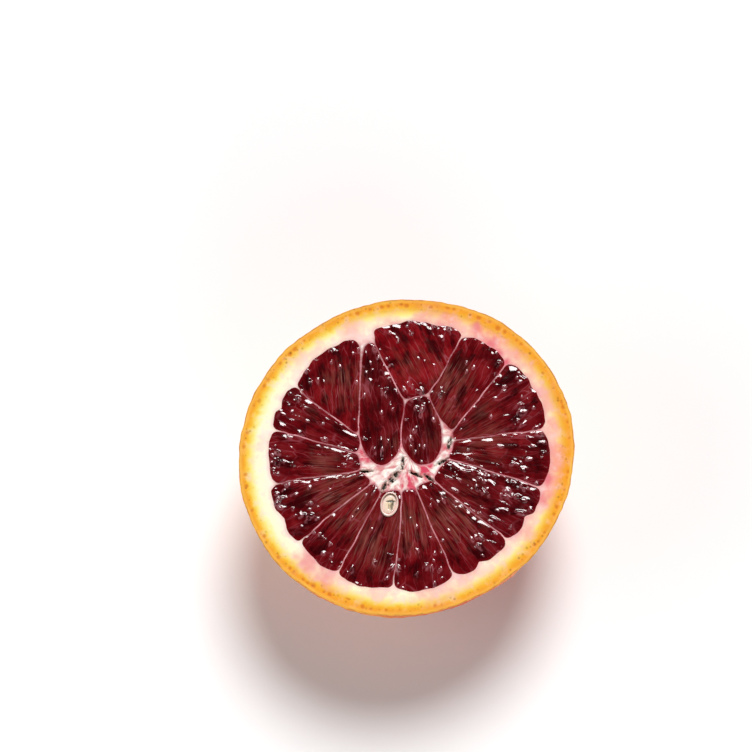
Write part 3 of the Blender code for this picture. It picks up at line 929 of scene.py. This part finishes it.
def flesh_relief():
    """Long juice sacs that fan out from the segment's tip, with beads of juice on the wet patches."""
    tree, node, given, result = new_relief("Juice sacs", (
        "Edge drop", "Sac length", "Sac width", "Sac height", "Lump height", "Bulge length", "Bulge width",
        "Bulge height", "Bead length", "Bead width", "Bead height", "Seed",
    ))
    top, edge, wet = (
        node(NAMED, {"Name": name}, data_type="FLOAT") for name in ("cut_face", "edge_distance", "wet")
    )
    along = node(NAMED, {"Name": "fan"}, data_type="FLOAT_VECTOR")

    # The way of the sacs, which wanders, and a shift of the noise that is each segment's own
    wander = node(NOISE, {"Vector": along, "Scale": 260.0, "Detail": 1.0}, "Color")
    wander = node(VECTOR, (wander, (0.5, 0.5, 0.5)), operation="SUBTRACT")
    wander = node(VECTOR, (wander, (4.0 * MM, 1.6 * MM, 0)), operation="MULTIPLY")
    way = node(VECTOR, (along, wander), operation="ADD")
    far = node(JOIN, (node(MATH, (given["Seed"], 13.7), operation="MULTIPLY"), given["Seed"]))

    # Place among the sacs, bulges and beads, in lengths and widths of each
    among = {}
    for kind in ("Sac", "Bulge", "Bead"):
        size = node(JOIN, (given[f"{kind} length"], given[f"{kind} width"], 1.0))
        places = node(VECTOR, (way, size), operation="DIVIDE")
        among[kind] = node(VECTOR, (places, far), operation="ADD")

    # Sacs, each with a height of its own
    to_wall, cell = (
        node(
            CELLS, {"Vector": among["Sac"], "Scale": 1.0, "Randomness": 0.9}, out, feature=feature,
            **FLAT_CELLS,
        )
        for out, feature in (("Distance", "DISTANCE_TO_EDGE"), ("Color", "F1"))
    )
    tall = node(RANGE, (node(SPLIT, (cell,), 1), 0.0, 1.0, 0.5, 1.5))
    tall = node(MATH, (tall, given["Sac height"]), operation="MULTIPLY")
    dome = node(RANGE, (to_wall, 0.0, 0.32), interpolation_type="SMOOTHSTEP")
    dome = node(MATH, (dome, tall), operation="MULTIPLY")

    # Lumps along the sacs, larger on the wet patches
    lumps = node(VECTOR, (way, (420, 800, 1)), operation="MULTIPLY")
    lumps = node(VECTOR, (lumps, far), operation="ADD")
    lumps = node(NOISE, {"Vector": lumps, "Scale": 1.0, "Detail": 1.0})
    lumps = node(MATH, (lumps, 0.5), operation="SUBTRACT")
    for factor in (node(RANGE, (wet, 0.0, 1.0, 0.18, 1.0)), given["Lump height"]):
        lumps = node(MATH, (lumps, factor), operation="MULTIPLY")

    # Bulging ends of torn sacs on the wet patches, and beads of juice there and elsewhere
    shares, heights = [], []
    for kind, least, most in (("Bulge", -0.05, 0.85), ("Bead", 0.08, 0.42)):
        away = node(
            CELLS, {"Vector": among[kind], "Scale": 1.0, "Randomness": 0.85}, "Distance", feature="F1",
            **FLAT_CELLS,
        )
        chance = node(SPLIT, (away.node.outputs["Color"],)).node.outputs
        taken = node(RANGE, (wet, 0.0, 1.0, least, most))
        taken = node(COMPARE, (taken, chance[0]), data_type="FLOAT", operation="GREATER_THAN")
        reach = node(RANGE, (chance[1], 0.0, 1.0, 0.28, 0.50))
        away = node(MATH, (away, reach), operation="DIVIDE")
        away = node(MATH, (away, 2.0), operation="POWER")
        share = node(MATH, (1.0, away), operation="SUBTRACT", use_clamp=True)
        share = node(MATH, (share, 2.0), operation="POWER")
        share = node(MATH, (share, taken), operation="MULTIPLY")
        tall = reach
        for factor in (given[f"{kind} height"], 2.2, share):
            tall = node(MATH, (tall, factor), operation="MULTIPLY")
        shares.append(share)
        heights.append(tall)

    # A dip of uneven width and depth along the septa
    dips = node(NOISE, {"Vector": along, "Scale": 330.0, "Detail": 1.0}, "Color")
    dips = node(SPLIT, (dips,)).node.outputs
    width = node(RANGE, (dips[0], 0.35, 0.65, 0.6 * MM, 1.8 * MM))
    dip = node(RANGE, (edge, 0.0, width, -1.0, 0.0), interpolation_type="SMOOTHERSTEP")
    for factor in (node(RANGE, (dips[1], 0.42, 0.68, 0.1, 1.0)), given["Edge drop"]):
        dip = node(MATH, (dip, factor), operation="MULTIPLY")

    rise = dome
    for part, operation in (
        (lumps, "ADD"), (node(MATH, heights, operation="ADD"), "ADD"),
        (node(RANGE, (edge, 0.0, 0.35 * MM)), "MULTIPLY"), (dip, "ADD"), (top, "MULTIPLY"),
    ):
        rise = node(MATH, (rise, part), operation=operation)
    bead = node(MATH, shares, operation="MAXIMUM")
    end_relief(node, given, result, node(JOIN, {2: rise}), sacs=among["Sac"], bead=bead)
    return tree


# Rind and pith

ROW = 0.87  # distance between two rows of even triangles, as a share of their sides
EDGE_FADE = 0.6 * MM  # from the cut face down to where the skin's relief is full
GLANDS_FROM = 0.6 * MM  # depth under the skin
GLANDS_TO = 2.2 * MM
GLANDS_FADE_IN = 0.3 * MM
GLANDS_FADE_OUT = 0.2 * MM
SCAR_RADIUS = 2.0 * MM
SCAR_FADE = 0.5 * MM
WOBBLE_DEPTH = 1.6 * MM  # how far under the skin the wobble reaches
WOBBLE_FROM = 8 * MM  # height over the floor where the wobble begins; it is full at twice that
WOBBLES = ((6 * MM, 1.0), (1.6 * MM, 0.45))  # length and share of the wobble's two waves
FAR_FROM_FLESH = 9 * MM
RIND_SEED = 4
FINE_REACH = 13 * MM  # from the fruit's axis: how far the core's finer mesh goes
CORE_FROM = 6.6 * MM  # depth under the skin where the look of pith begins to give way to the core's
CORE_FADE = 2.0 * MM
STRAND_LENGTH = 2.5 * MM  # of the fibres that run out from the core
STRANDS = 5.0  # fibres to a radian
PATCH_GRAIN = 1.2 * MM  # size of the ragged parts of a patch's edge
PATCH_END = 1.25  # where a patch has faded out, as a share of its reach
CLEFT_GRAIN = 0.45 * MM
CLEFT_END = 1.75  # where a cleft has faded out, in half widths of the solid's
CLEFT_FADE = 0.9
CLEFT_RAGGEDNESS = 0.6


def peel_attributes(skin_depth, **more):
    """The values that the peel's material reads on each point. Those not given are as on plain cut pith."""
    blank = dict.fromkeys(("outside", "stain", "core", "cleft", "scar", "pit", "gland"), 0 * skin_depth)
    return {**blank, "skin_depth": skin_depth, "flesh_near": 0 * skin_depth + FAR_FROM_FLESH, **more}


def patches_at(points, patches, raggedness=0.45):
    """How strongly a list of soft round patches with ragged edges shows at each point."""
    found = np.zeros(len(points))
    ragged = noise_at(points, PATCH_GRAIN)
    for x, y, reach, strength in patches:
        away = np.linalg.norm(points - np.array([x, y]) * MM, axis=1) / (reach * MM)
        found = np.maximum(found, strength * np.clip(PATCH_END - away - raggedness * ragged, 0, 1))
    return found


def pink_at(fruit, points):
    """Share of pink in the pith at each point, by its bearing from the fruit's axis."""
    bearings = np.degrees(np.arctan2(points[:, 1] - fruit.axis[1], points[:, 0] - fruit.axis[0])) % 360
    return np.interp(bearings, *zip(*PINK_BY_BEARING))


def rind_rings(fruit, settings):
    """Rings of the skin, each with its share of the outside's relief and its depth under the skin.

    They run up the inner wall, out over the lip, and down the outside to the middle of the flat spot.
    """
    spacing, lip = settings.skin_mesh, settings.lip_width
    row = ROW * spacing
    rings = [(ring, 0, lip) for ring in fruit.wall(lip)]
    lip_steps = round(lip / row)
    for step in range(lip_steps + 1):
        inset = lip * (1 - step / lip_steps)
        rings.append((fruit.ring(spacing, inside=inset), 0, inset))
    turns = int(fruit.half_depth * fruit.lowest_turn / row)
    for step in range(1, turns + 1):
        turn = fruit.lowest_turn * step / turns
        rings.append((fruit.ring(spacing, turn), min(1.0, fruit.half_depth * turn / EDGE_FADE), 0))
    spot_steps = int(FLAT_SPOT_RADIUS / spacing)
    for step in range(1, spot_steps):
        share = 1 - step / spot_steps
        rings.append((fruit.ring(spacing, fruit.lowest_turn, height=0.0, share=share), 1, 0))
    return rings


def make_rind(fruit, settings, material):
    """The skin: pitted outside, turned in over the cut face as a lip, and smooth inside."""
    rings, outside, depth = zip(*rind_rings(fruit, settings))
    shell = Shell()
    numbers = [shell.add_points(ring) for ring in rings]
    for upper, lower in zip(numbers, numbers[1:]):
        shell.triangles += band(upper, lower)
    (bottom,) = shell.add_points([rings[-1].mean(axis=0)])
    shell.triangles += fan(numbers[-1], bottom)
    shell.add_ceiling(numbers[0], rings[0].mean(axis=0))
    counts = [len(ring) for ring in rings]
    outside = np.append(np.repeat(outside, counts), [1, 0])
    depth = np.append(np.repeat(depth, counts), [0, settings.lip_width])

    points = np.array(shell.points)
    on_lip = (points[:, 2] > CUT_HEIGHT - ON_PLANE) & (outside == 0)
    zone = share_of(depth - GLANDS_FROM, GLANDS_FADE_IN) * share_of(GLANDS_TO - depth, GLANDS_FADE_OUT)
    from_axis = np.linalg.norm(points[:, :2] - fruit.axis, axis=1)
    scar = share_of(SCAR_RADIUS - from_axis, SCAR_FADE) * (points[:, 2] < ON_PLANE)
    outwards = (points - [*fruit.axis, CUT_HEIGHT]) * [1, 1, 0]
    outwards /= np.maximum(np.linalg.norm(outwards, axis=1, keepdims=True), 1 * MM)
    loose = np.clip(1.0 - depth / WOBBLE_DEPTH, 0, 1) * np.clip(points[:, 2] / WOBBLE_FROM - 1.0, 0, 1)
    wobble = sum(share * noise_at(points, length) for length, share in WOBBLES)
    shell.points = points + outwards * (settings.wobble * loose * wobble)[:, None]
    piece = shell.finished("rind_skin", **peel_attributes(
        depth, outside=outside, gland_zone=zone * on_lip, scar=scar, pink=pink_at(fruit, points),
        stain=patches_at(points[:, :2], STAINS) * on_lip,
    ))
    shape_with(piece, rind_relief(), settings, material, RIND_SEED)
    settle(piece, PEEL_NODE, PEEL_NODE)


def cleft_depths(points, clefts):
    """How deep in a cleft of the core each point lies, from 0 to 1, with ragged edges."""
    found = np.zeros(len(points))
    ragged = noise_at(points, CLEFT_GRAIN)
    for outline in clefts:
        middle = outline.mean(axis=0)
        _, reach, axes = np.linalg.svd(outline - middle)
        reach = reach * math.sqrt(2 / len(outline))
        across = np.linalg.norm((points - middle) @ axes.T / reach, axis=1)
        depth = (CLEFT_END - across - CLEFT_RAGGEDNESS * ragged) / CLEFT_FADE
        found = np.maximum(found, np.clip(depth, 0, 1))
    return found


def make_pith(fruit, settings, material):
    """Pith, septa and core in one piece, with a pocket for each segment."""
    outer = fruit.ring(settings.skin_mesh, inside=settings.lip_width)[:, :2]
    holes = [fruit.pockets[name][::-1] for name in SEGMENT_NODES]
    coarse = hexagonal(outer.min(0), outer.max(0), settings.pith_mesh)
    coarse = coarse[np.linalg.norm(coarse - fruit.axis, axis=1) > FINE_REACH]
    fine = hexagonal(fruit.axis - FINE_REACH, fruit.axis + FINE_REACH, settings.core_mesh)
    fine = fine[np.linalg.norm(fine - fruit.axis, axis=1) <= FINE_REACH]
    flat, triangles = flat_region(outer, holes, ((coarse, settings.pith_mesh), (fine, settings.core_mesh)))

    shell = Shell(flat, triangles, CUT_HEIGHT)
    shell.add_wall(range(len(outer)), fruit.wall(settings.lip_width)[::-1])
    start = len(outer)
    for hole in holes:
        rings = fruit.rings_down(hole, (*FLESH_LEVELS[:-1], FLESH_BOTTOM + POCKET_FLOOR))
        shell.add_wall(range(start, start + len(hole)), rings)
        start += len(hole)

    points = np.array(shell.points)
    on_top = np.arange(len(points)) < len(flat)
    from_axis = points[:, :2] - fruit.axis
    radius = np.linalg.norm(from_axis, axis=1)
    bearing = np.arctan2(from_axis[:, 1], from_axis[:, 0])
    depth = fruit.rim_radius(bearing) - radius
    piece = shell.finished("pith_and_septa", cut_face=on_top, **peel_attributes(
        depth,
        flesh_near=distances(points[:, :2], tree_of(np.vstack(holes))),
        core=share_of(depth - CORE_FROM, CORE_FADE),
        stain=np.maximum(patches_at(points[:, :2], STAINS), patches_at(points[:, :2], CORE_STAINS)),
        cleft=cleft_depths(points[:, :2], fruit.clefts) * on_top,
        pink=pink_at(fruit, points),
        strands=np.column_stack([radius / STRAND_LENGTH, bearing * STRANDS, 0 * radius]),
    ))
    shape_with(piece, pith_relief(), settings, material)
    settle(piece, PEEL_NODE, PEEL_NODE)


# Flesh

FLESH_LEVELS = (1.5 * MM, 8.5 * MM, 16.0 * MM, 21.5 * MM, 25.0 * MM, FLESH_BOTTOM)
POCKET_FLOOR = 0.3 * MM  # room under a segment
WALL_OVERLAP = 0.03 * MM  # how far the flesh reaches into the pith, so that no gap shows
GRID_MARGIN = 1 * MM
SEED_HOLE_LEVELS = (1.5 * MM, 3.4 * MM)  # depths under the cut
LONGEST_FAN = 60 * MM  # from the point that the sacs spread from to the middle of the segment


def fan_coordinates(outline, points, axis):
    """Where each point lies along and across the sacs, which spread from a point behind the tip."""
    middle = outline.mean(axis=0)
    _, _, axes = np.linalg.svd(outline - middle, full_matrices=False)
    towards = axes @ (middle - axis)
    first = abs(towards).argmax()
    main, side = axes[first] * np.sign(towards[first]), axes[1 - first]
    along, across = (outline - middle) @ main, (outline - middle) @ side

    # The sides are drawn as straight lines from the widths between the tip and the rounded back
    low, high = along.min(), along.max()
    places = np.linspace(low + 0.2 * (high - low), high - 0.3 * (high - low), 12)
    step = (high - low) / 24
    widths = [np.ptp(across[abs(along - place) < step]) for place in places]
    slope, width = np.polyfit(places, widths, 1)
    reach = max(min(width / max(slope, 1e-3), LONGEST_FAN), -low + 1.0 * MM)
    away = points - (middle - main * reach)
    distance = np.linalg.norm(away, axis=1)
    angle = np.arctan2(away @ np.array([-main[1], main[0]]), away @ main)
    return np.column_stack([distance, angle * np.sqrt(distance * reach)])


def make_segment(name, fruit, settings, number, tree, material, seed_outline):
    """The flesh of one segment, down to its floor."""
    outline = grown(fruit.pockets[name], WALL_OVERLAP)
    holes = [seed_outline[::-1]] if name == SEEDED_NODE else []
    grid = hexagonal(outline.min(0) - GRID_MARGIN, outline.max(0) + GRID_MARGIN, settings.mesh)
    flat, triangles = flat_region(outline, holes, ((grid, settings.mesh),))
    shell = Shell(flat, triangles, CUT_HEIGHT)
    start = len(outline)
    shell.add_wall(range(start), fruit.rings_down(outline, FLESH_LEVELS))
    for hole in holes:
        rings = [at_height(hole, CUT_HEIGHT - depth) for depth in SEED_HOLE_LEVELS]
        shell.add_wall(range(start, start + len(hole)), rings)
    points = np.array(shell.points)[:, :2]
    piece = shell.finished(
        name.replace("segment", "flesh"), cut_face=np.arange(len(points)) < len(flat),
        edge_distance=distances(points, tree_of(outline)),
        fan=at_height(fan_coordinates(outline, points, fruit.axis), number),
        wet=patches_at(points, WET_PATCHES), glow=patches_at(points, GLOWS, 0.2),
        redness=np.full(len(points), REDNESS.get(name, USUAL_REDNESS)),
    )
    shape_with(piece, tree, settings, material, number)
    settle(piece, "flesh", name)


# Seed

COAT_POINTS = 64
KERNEL_POINTS = 96
KERNEL_MESH = 0.09 * MM
SEED_HALF_WIDTH = 1.9 * MM
KERNEL_GAP = 0.07  # between the coat and the kernel, as a share of the seed's oval
KERNEL_SUNK = 0.16 * MM  # its edge under the cut
KERNEL_SWELL = 0.14 * MM
KERNEL_BUMPS = 0.05 * MM
GERM_DEPTH = 0.16 * MM

# Levels of the kernel under the cut: share of its oval, and depth in millimetres
KERNEL_LEVELS = ((1.0, 0.6), (0.95, 1.2), (0.7, 2.0), (0.35, 2.5))

# Dark strokes in the kernel: place from its middle, half width and half height in millimetres, strength
GERM_STROKES = (
    (0.35, 0.60, 0.66, 0.16, 1.0), (0.70, 0.25, 0.16, 0.45, 0.9),
    (0.45, -0.45, 0.18, 0.60, 0.75), (-0.10, -0.60, 0.12, 0.45, 0.5),
)


def seed_oval(turn, share=1.0, count=COAT_POINTS):
    """A ring of the seed's oval on the cut face, read from the solid's box."""
    low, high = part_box(SEED_NODE)
    centre = np.array([(low.x + high.x) / 2, (low.y + high.y) / 2])
    half_x, half_y = (high.x - low.x) / 2, (high.y - low.y) / 2
    c, s = math.cos(turn) ** 2, math.sin(turn) ** 2
    wide = math.sqrt((half_x**2 * c - half_y**2 * s) / (c**2 - s**2))
    tall = math.sqrt((half_y**2 * c - half_x**2 * s) / (c**2 - s**2))
    bearings = np.linspace(0, math.tau, count, endpoint=False)
    x, y = wide * share * np.cos(bearings), tall * share * np.sin(bearings)
    lean = np.array([[math.cos(turn), -math.sin(turn)], [math.sin(turn), math.cos(turn)]])
    return centre + np.column_stack([x, y]) @ lean


def coat_levels(brim):
    """Levels of the coat, as shares of the seed's oval and heights: its hollow, its brim and its outside."""
    low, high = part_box(SEED_NODE)
    top, depth = high.z, high.z - low.z
    hollow = [(share, top - 0.02 * MM - 0.5 * MM * (1 - share)) for share in (0.05, 0.2, 0.4, 0.6)]
    edge = [
        (brim - 0.03, top - 0.22 * MM), (brim, top - 0.06 * MM), (brim + 0.04, top),
        ((1 + brim) / 2, top + 0.03 * MM), (0.97, top + 0.02 * MM), (1.0, top - 0.04 * MM),
    ]
    outside = [
        (math.cos(turn), top - 0.12 * MM - (depth - 0.12 * MM) * math.sin(turn))
        for turn in np.linspace(0.15, 1.4, 12)
    ]
    return hollow + edge + outside


def make_coat(settings, brim):
    """The seed's coat, like a bowl. The brim is where its hollow ends, as a share of the seed's oval."""
    shares, heights = zip(*coat_levels(brim))
    rings = [at_height(seed_oval(settings.turn, share), height) for share, height in zip(shares, heights)]
    shell = Shell()
    numbers = shell.add_points(rings[0])
    shell.add_ceiling(numbers, rings[0].mean(axis=0))
    shell.add_wall(numbers, rings[1:])
    share = np.concatenate([
        np.full(COAT_POINTS, shares[0]), [0], np.repeat(shares[1:], COAT_POINTS), [0]
    ])

    # Dark marks: a brown arc on the upper side of the brim, partly the coat's own brown line and partly
    # painted shade in the gap by the kernel, and a painted shadow crescent at the lower left of the edge,
    # where the coat meets the flesh
    around = np.array(shell.points)[:, :2] - seed_oval(settings.turn).mean(axis=0)
    shaded_arc = share_of(around[:, 1], 1.6 * MM) * np.clip(1.3 - abs(share - brim - 0.02) / 0.09, 0, 1)
    shadow_crescent = share_of(-around.sum(axis=1), 2.2 * MM) * np.clip(1.2 - abs(share - 0.96) / 0.05, 0, 1)
    coat = shell.finished("seed_coat", from_middle=share, germ=np.maximum(shaded_arc, 0.8 * shadow_crescent))
    coat.data.materials.append(seed_material("moist_seed_coat", "#c98d7a", settings.coat, "#5e4526", 0.35))
    settle(coat, SEED_NODE, SEED_NODE)


def make_kernel(settings, size):
    """The cut kernel, with its germ. Its size is a share of the seed's oval."""
    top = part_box(SEED_NODE)[1].z
    outline = seed_oval(settings.turn, size, KERNEL_POINTS)
    grid = hexagonal(outline.min(0), outline.max(0), KERNEL_MESH)
    flat, triangles = flat_region(outline, [], ((grid, KERNEL_MESH),))
    centre = outline.mean(axis=0)
    edge = distances(flat, tree_of(outline))
    rise = share_of(edge, 0.45 * MM)
    bumps = noise_at(flat, 0.8 * MM)
    local = (flat - centre) / MM
    germ = np.zeros(len(flat))
    for x, y, half_width, half_height, strength in GERM_STROKES:
        away = np.hypot((local[:, 0] - x) / half_width, (local[:, 1] - y) / half_height)
        germ = np.maximum(germ, strength * np.clip(2.0 - away - 0.6 * bumps, 0, 1))
    height = top - KERNEL_SUNK + KERNEL_SWELL * rise * (2 - rise) + KERNEL_BUMPS * bumps
    shell = Shell(flat, triangles, height - GERM_DEPTH * germ)
    shell.add_wall(range(KERNEL_POINTS), [
        at_height(centre + (outline - centre) * share, top - depth * MM) for share, depth in KERNEL_LEVELS
    ])
    spare = len(shell.points) - len(flat)
    share = np.append(1 - share_of(edge, 1.3 * MM), np.ones(spare))
    kernel = shell.finished("seed_kernel", from_middle=share, germ=np.append(germ, np.zeros(spare)))
    kernel.data.materials.append(
        seed_material("moist_kernel", settings.kernel, "#f6d6c8", settings.germ, 0.3)
    )
    settle(kernel, SEED_NODE, SEED_NODE)


# Stage

PHOTO_WIDTH = 752  # pixels, and the same high
HALF_WIDTH_IN_PHOTO = 335.5
HALF_MIDDLE_IN_PHOTO = (406.3, 456.4)
LENS = 250.0
SENSOR = 36.0
FLOOR_REACH = 4.0
FLOOR_HEIGHT = -0.05 * MM

# Each light's kind, bearing and elevation, and its distance in metres
LIGHTS = {"key": ("SUN", 80, 56, 0.6), "left": ("AREA", 185, 30, 0.9), "right": ("AREA", 290, 30, 0.9)}
SIDE_LIGHT_SIZE = 0.6


def aim(thing, target):
    thing.rotation_euler = (Vector(target) - thing.location).to_track_quat("-Z", "Y").to_euler()


def make_camera(settings):
    """The camera at the photograph's angle and framing."""
    low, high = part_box(PEEL_NODE)
    pixel = (high.x - low.x) / HALF_WIDTH_IN_PHOTO
    middle = (low + high) / 2
    right = (PHOTO_WIDTH / 2 - HALF_MIDDLE_IN_PHOTO[0]) * pixel
    up = (HALF_MIDDLE_IN_PHOTO[1] - PHOTO_WIDTH / 2) * pixel
    target = Vector((middle.x + right, middle.y + up / math.sin(settings.elevation), CUT_HEIGHT))
    distance = PHOTO_WIDTH * pixel * LENS / SENSOR
    camera = new_object("camera", bpy.data.cameras.new("camera"))
    direction = Vector((0, -math.cos(settings.elevation), math.sin(settings.elevation)))
    camera.location = target + direction * distance
    aim(camera, target)
    camera.data.lens, camera.data.sensor_width = LENS, SENSOR
    camera.data.clip_start, camera.data.clip_end = 0.01, 20
    bpy.context.scene.camera = camera


def make_light(name, **settings):
    """A soft light that points at the cut face."""
    kind, bearing, elevation, distance = LIGHTS[name]
    light = bpy.data.lights.new(name, kind)
    for key, value in settings.items():
        setattr(light, key, value)
    lamp = new_object(name, light)
    bearing, elevation = math.radians(bearing), math.radians(elevation)
    level = math.cos(elevation)
    direction = Vector((level * math.cos(bearing), level * math.sin(bearing), math.sin(elevation)))
    lamp.location = Vector((0, 0, CUT_HEIGHT)) + direction * distance
    aim(lamp, (0, 0, CUT_HEIGHT))


def make_floor(colour):
    mesh = bpy.data.meshes.new("floor")
    corners = ((-1, -1), (1, -1), (1, 1), (-1, 1))
    points = [(x * FLOOR_REACH, y * FLOOR_REACH, FLOOR_HEIGHT) for x, y in corners]
    mesh.from_pydata(points, [], [(0, 1, 2, 3)])
    floor = new_object("floor", mesh)
    mesh.materials.append(floor_material(colour))


def make_surroundings(scene, strength):
    """A pale room, lit from low down and dark overhead, that the wet flesh mirrors."""
    world = bpy.data.worlds.new("pale_room")
    world.use_nodes = True
    node = partial(add, world.node_tree)
    up = node(SPLIT, (node(PLACE, out="Generated"),), 2)
    walls = node(RAMP, (up,), stops=((0.25, "#f5f6f8"), (0.75, "#161617")))
    fill(world.node_tree.nodes["Background"], {"Color": walls, "Strength": strength})
    scene.world = world
    scene.view_settings.view_transform = "Standard"


# Add-on


class HALF_OT_make_peel(bpy.types.Operator):
    """Make the pitted rind and the pith with its septa and core"""

    bl_idname = "half.make_peel"
    bl_label = "Make rind and pith"

    def execute(self, context):
        settings = context.scene.half_peel
        fruit, material = Fruit(settings.septum), peel_material(settings)
        make_rind(fruit, settings, material)
        make_pith(fruit, settings, material)
        return {"FINISHED"}


class HALF_OT_make_segments(bpy.types.Operator):
    """Make the flesh of every segment"""

    bl_idname = "half.make_segments"
    bl_label = "Make segments"

    def execute(self, context):
        settings = context.scene.half_flesh
        fruit = Fruit(context.scene.half_peel.septum)
        tree, material = flesh_relief(), flesh_material(settings)
        seed_outline = seed_oval(context.scene.half_seed.turn)
        for number, name in enumerate(SEGMENT_NODES):
            make_segment(name, fruit, settings, number, tree, material, seed_outline)
        return {"FINISHED"}


class HALF_OT_make_seed(bpy.types.Operator):
    """Make the cut seed"""

    bl_idname = "half.make_seed"
    bl_label = "Make seed"

    def execute(self, context):
        settings = context.scene.half_seed
        brim = 1 - settings.coat_thickness / SEED_HALF_WIDTH
        make_coat(settings, brim)
        make_kernel(settings, brim - KERNEL_GAP)
        return {"FINISHED"}


class HALF_OT_make_stage(bpy.types.Operator):
    """Make the camera, the lights and the floor"""

    bl_idname = "half.make_stage"
    bl_label = "Make stage"

    def execute(self, context):
        settings = context.scene.half_stage
        make_camera(settings)
        make_floor(settings.floor)
        make_light("key", energy=settings.key_strength, angle=settings.key_width)
        for name in ("left", "right"):
            make_light(name, energy=settings.side_power, size=SIDE_LIGHT_SIZE)
        make_surroundings(context.scene, settings.world_strength)
        return {"FINISHED"}


class HALF_PT_panel(bpy.types.Panel):
    """Buttons and settings for the blood orange half"""

    bl_idname = "HALF_PT_panel"
    bl_label = "Blood orange half"
    bl_space_type = "VIEW_3D"
    bl_region_type = "UI"
    bl_category = "Fruit"

    def draw(self, context):
        for operator, (key, group) in zip(OPERATORS, GROUPS.items()):
            box = self.layout.box()
            for name in group.__annotations__:
                box.prop(getattr(context.scene, key), name)
            box.operator(operator.bl_idname)


OPERATORS = (HALF_OT_make_peel, HALF_OT_make_segments, HALF_OT_make_seed, HALF_OT_make_stage)
GROUPS = {
    "half_peel": PeelSettings,
    "half_flesh": FleshSettings,
    "half_seed": SeedSettings,
    "half_stage": StageSettings,
}


def register():
    for kind in (*GROUPS.values(), *OPERATORS, HALF_PT_panel):
        bpy.utils.register_class(kind)
    for name, group in GROUPS.items():
        setattr(bpy.types.Scene, name, bpy.props.PointerProperty(type=group))


def unregister():
    for name in GROUPS:
        delattr(bpy.types.Scene, name)
    for kind in (HALF_PT_panel, *reversed(OPERATORS), *reversed(GROUPS.values())):
        bpy.utils.unregister_class(kind)


def main():
    register()
    bpy.ops.half.make_peel()
    bpy.ops.half.make_segments()
    bpy.ops.half.make_seed()
    bpy.ops.half.make_stage()
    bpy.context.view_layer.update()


if __name__ == "__main__":
    main()
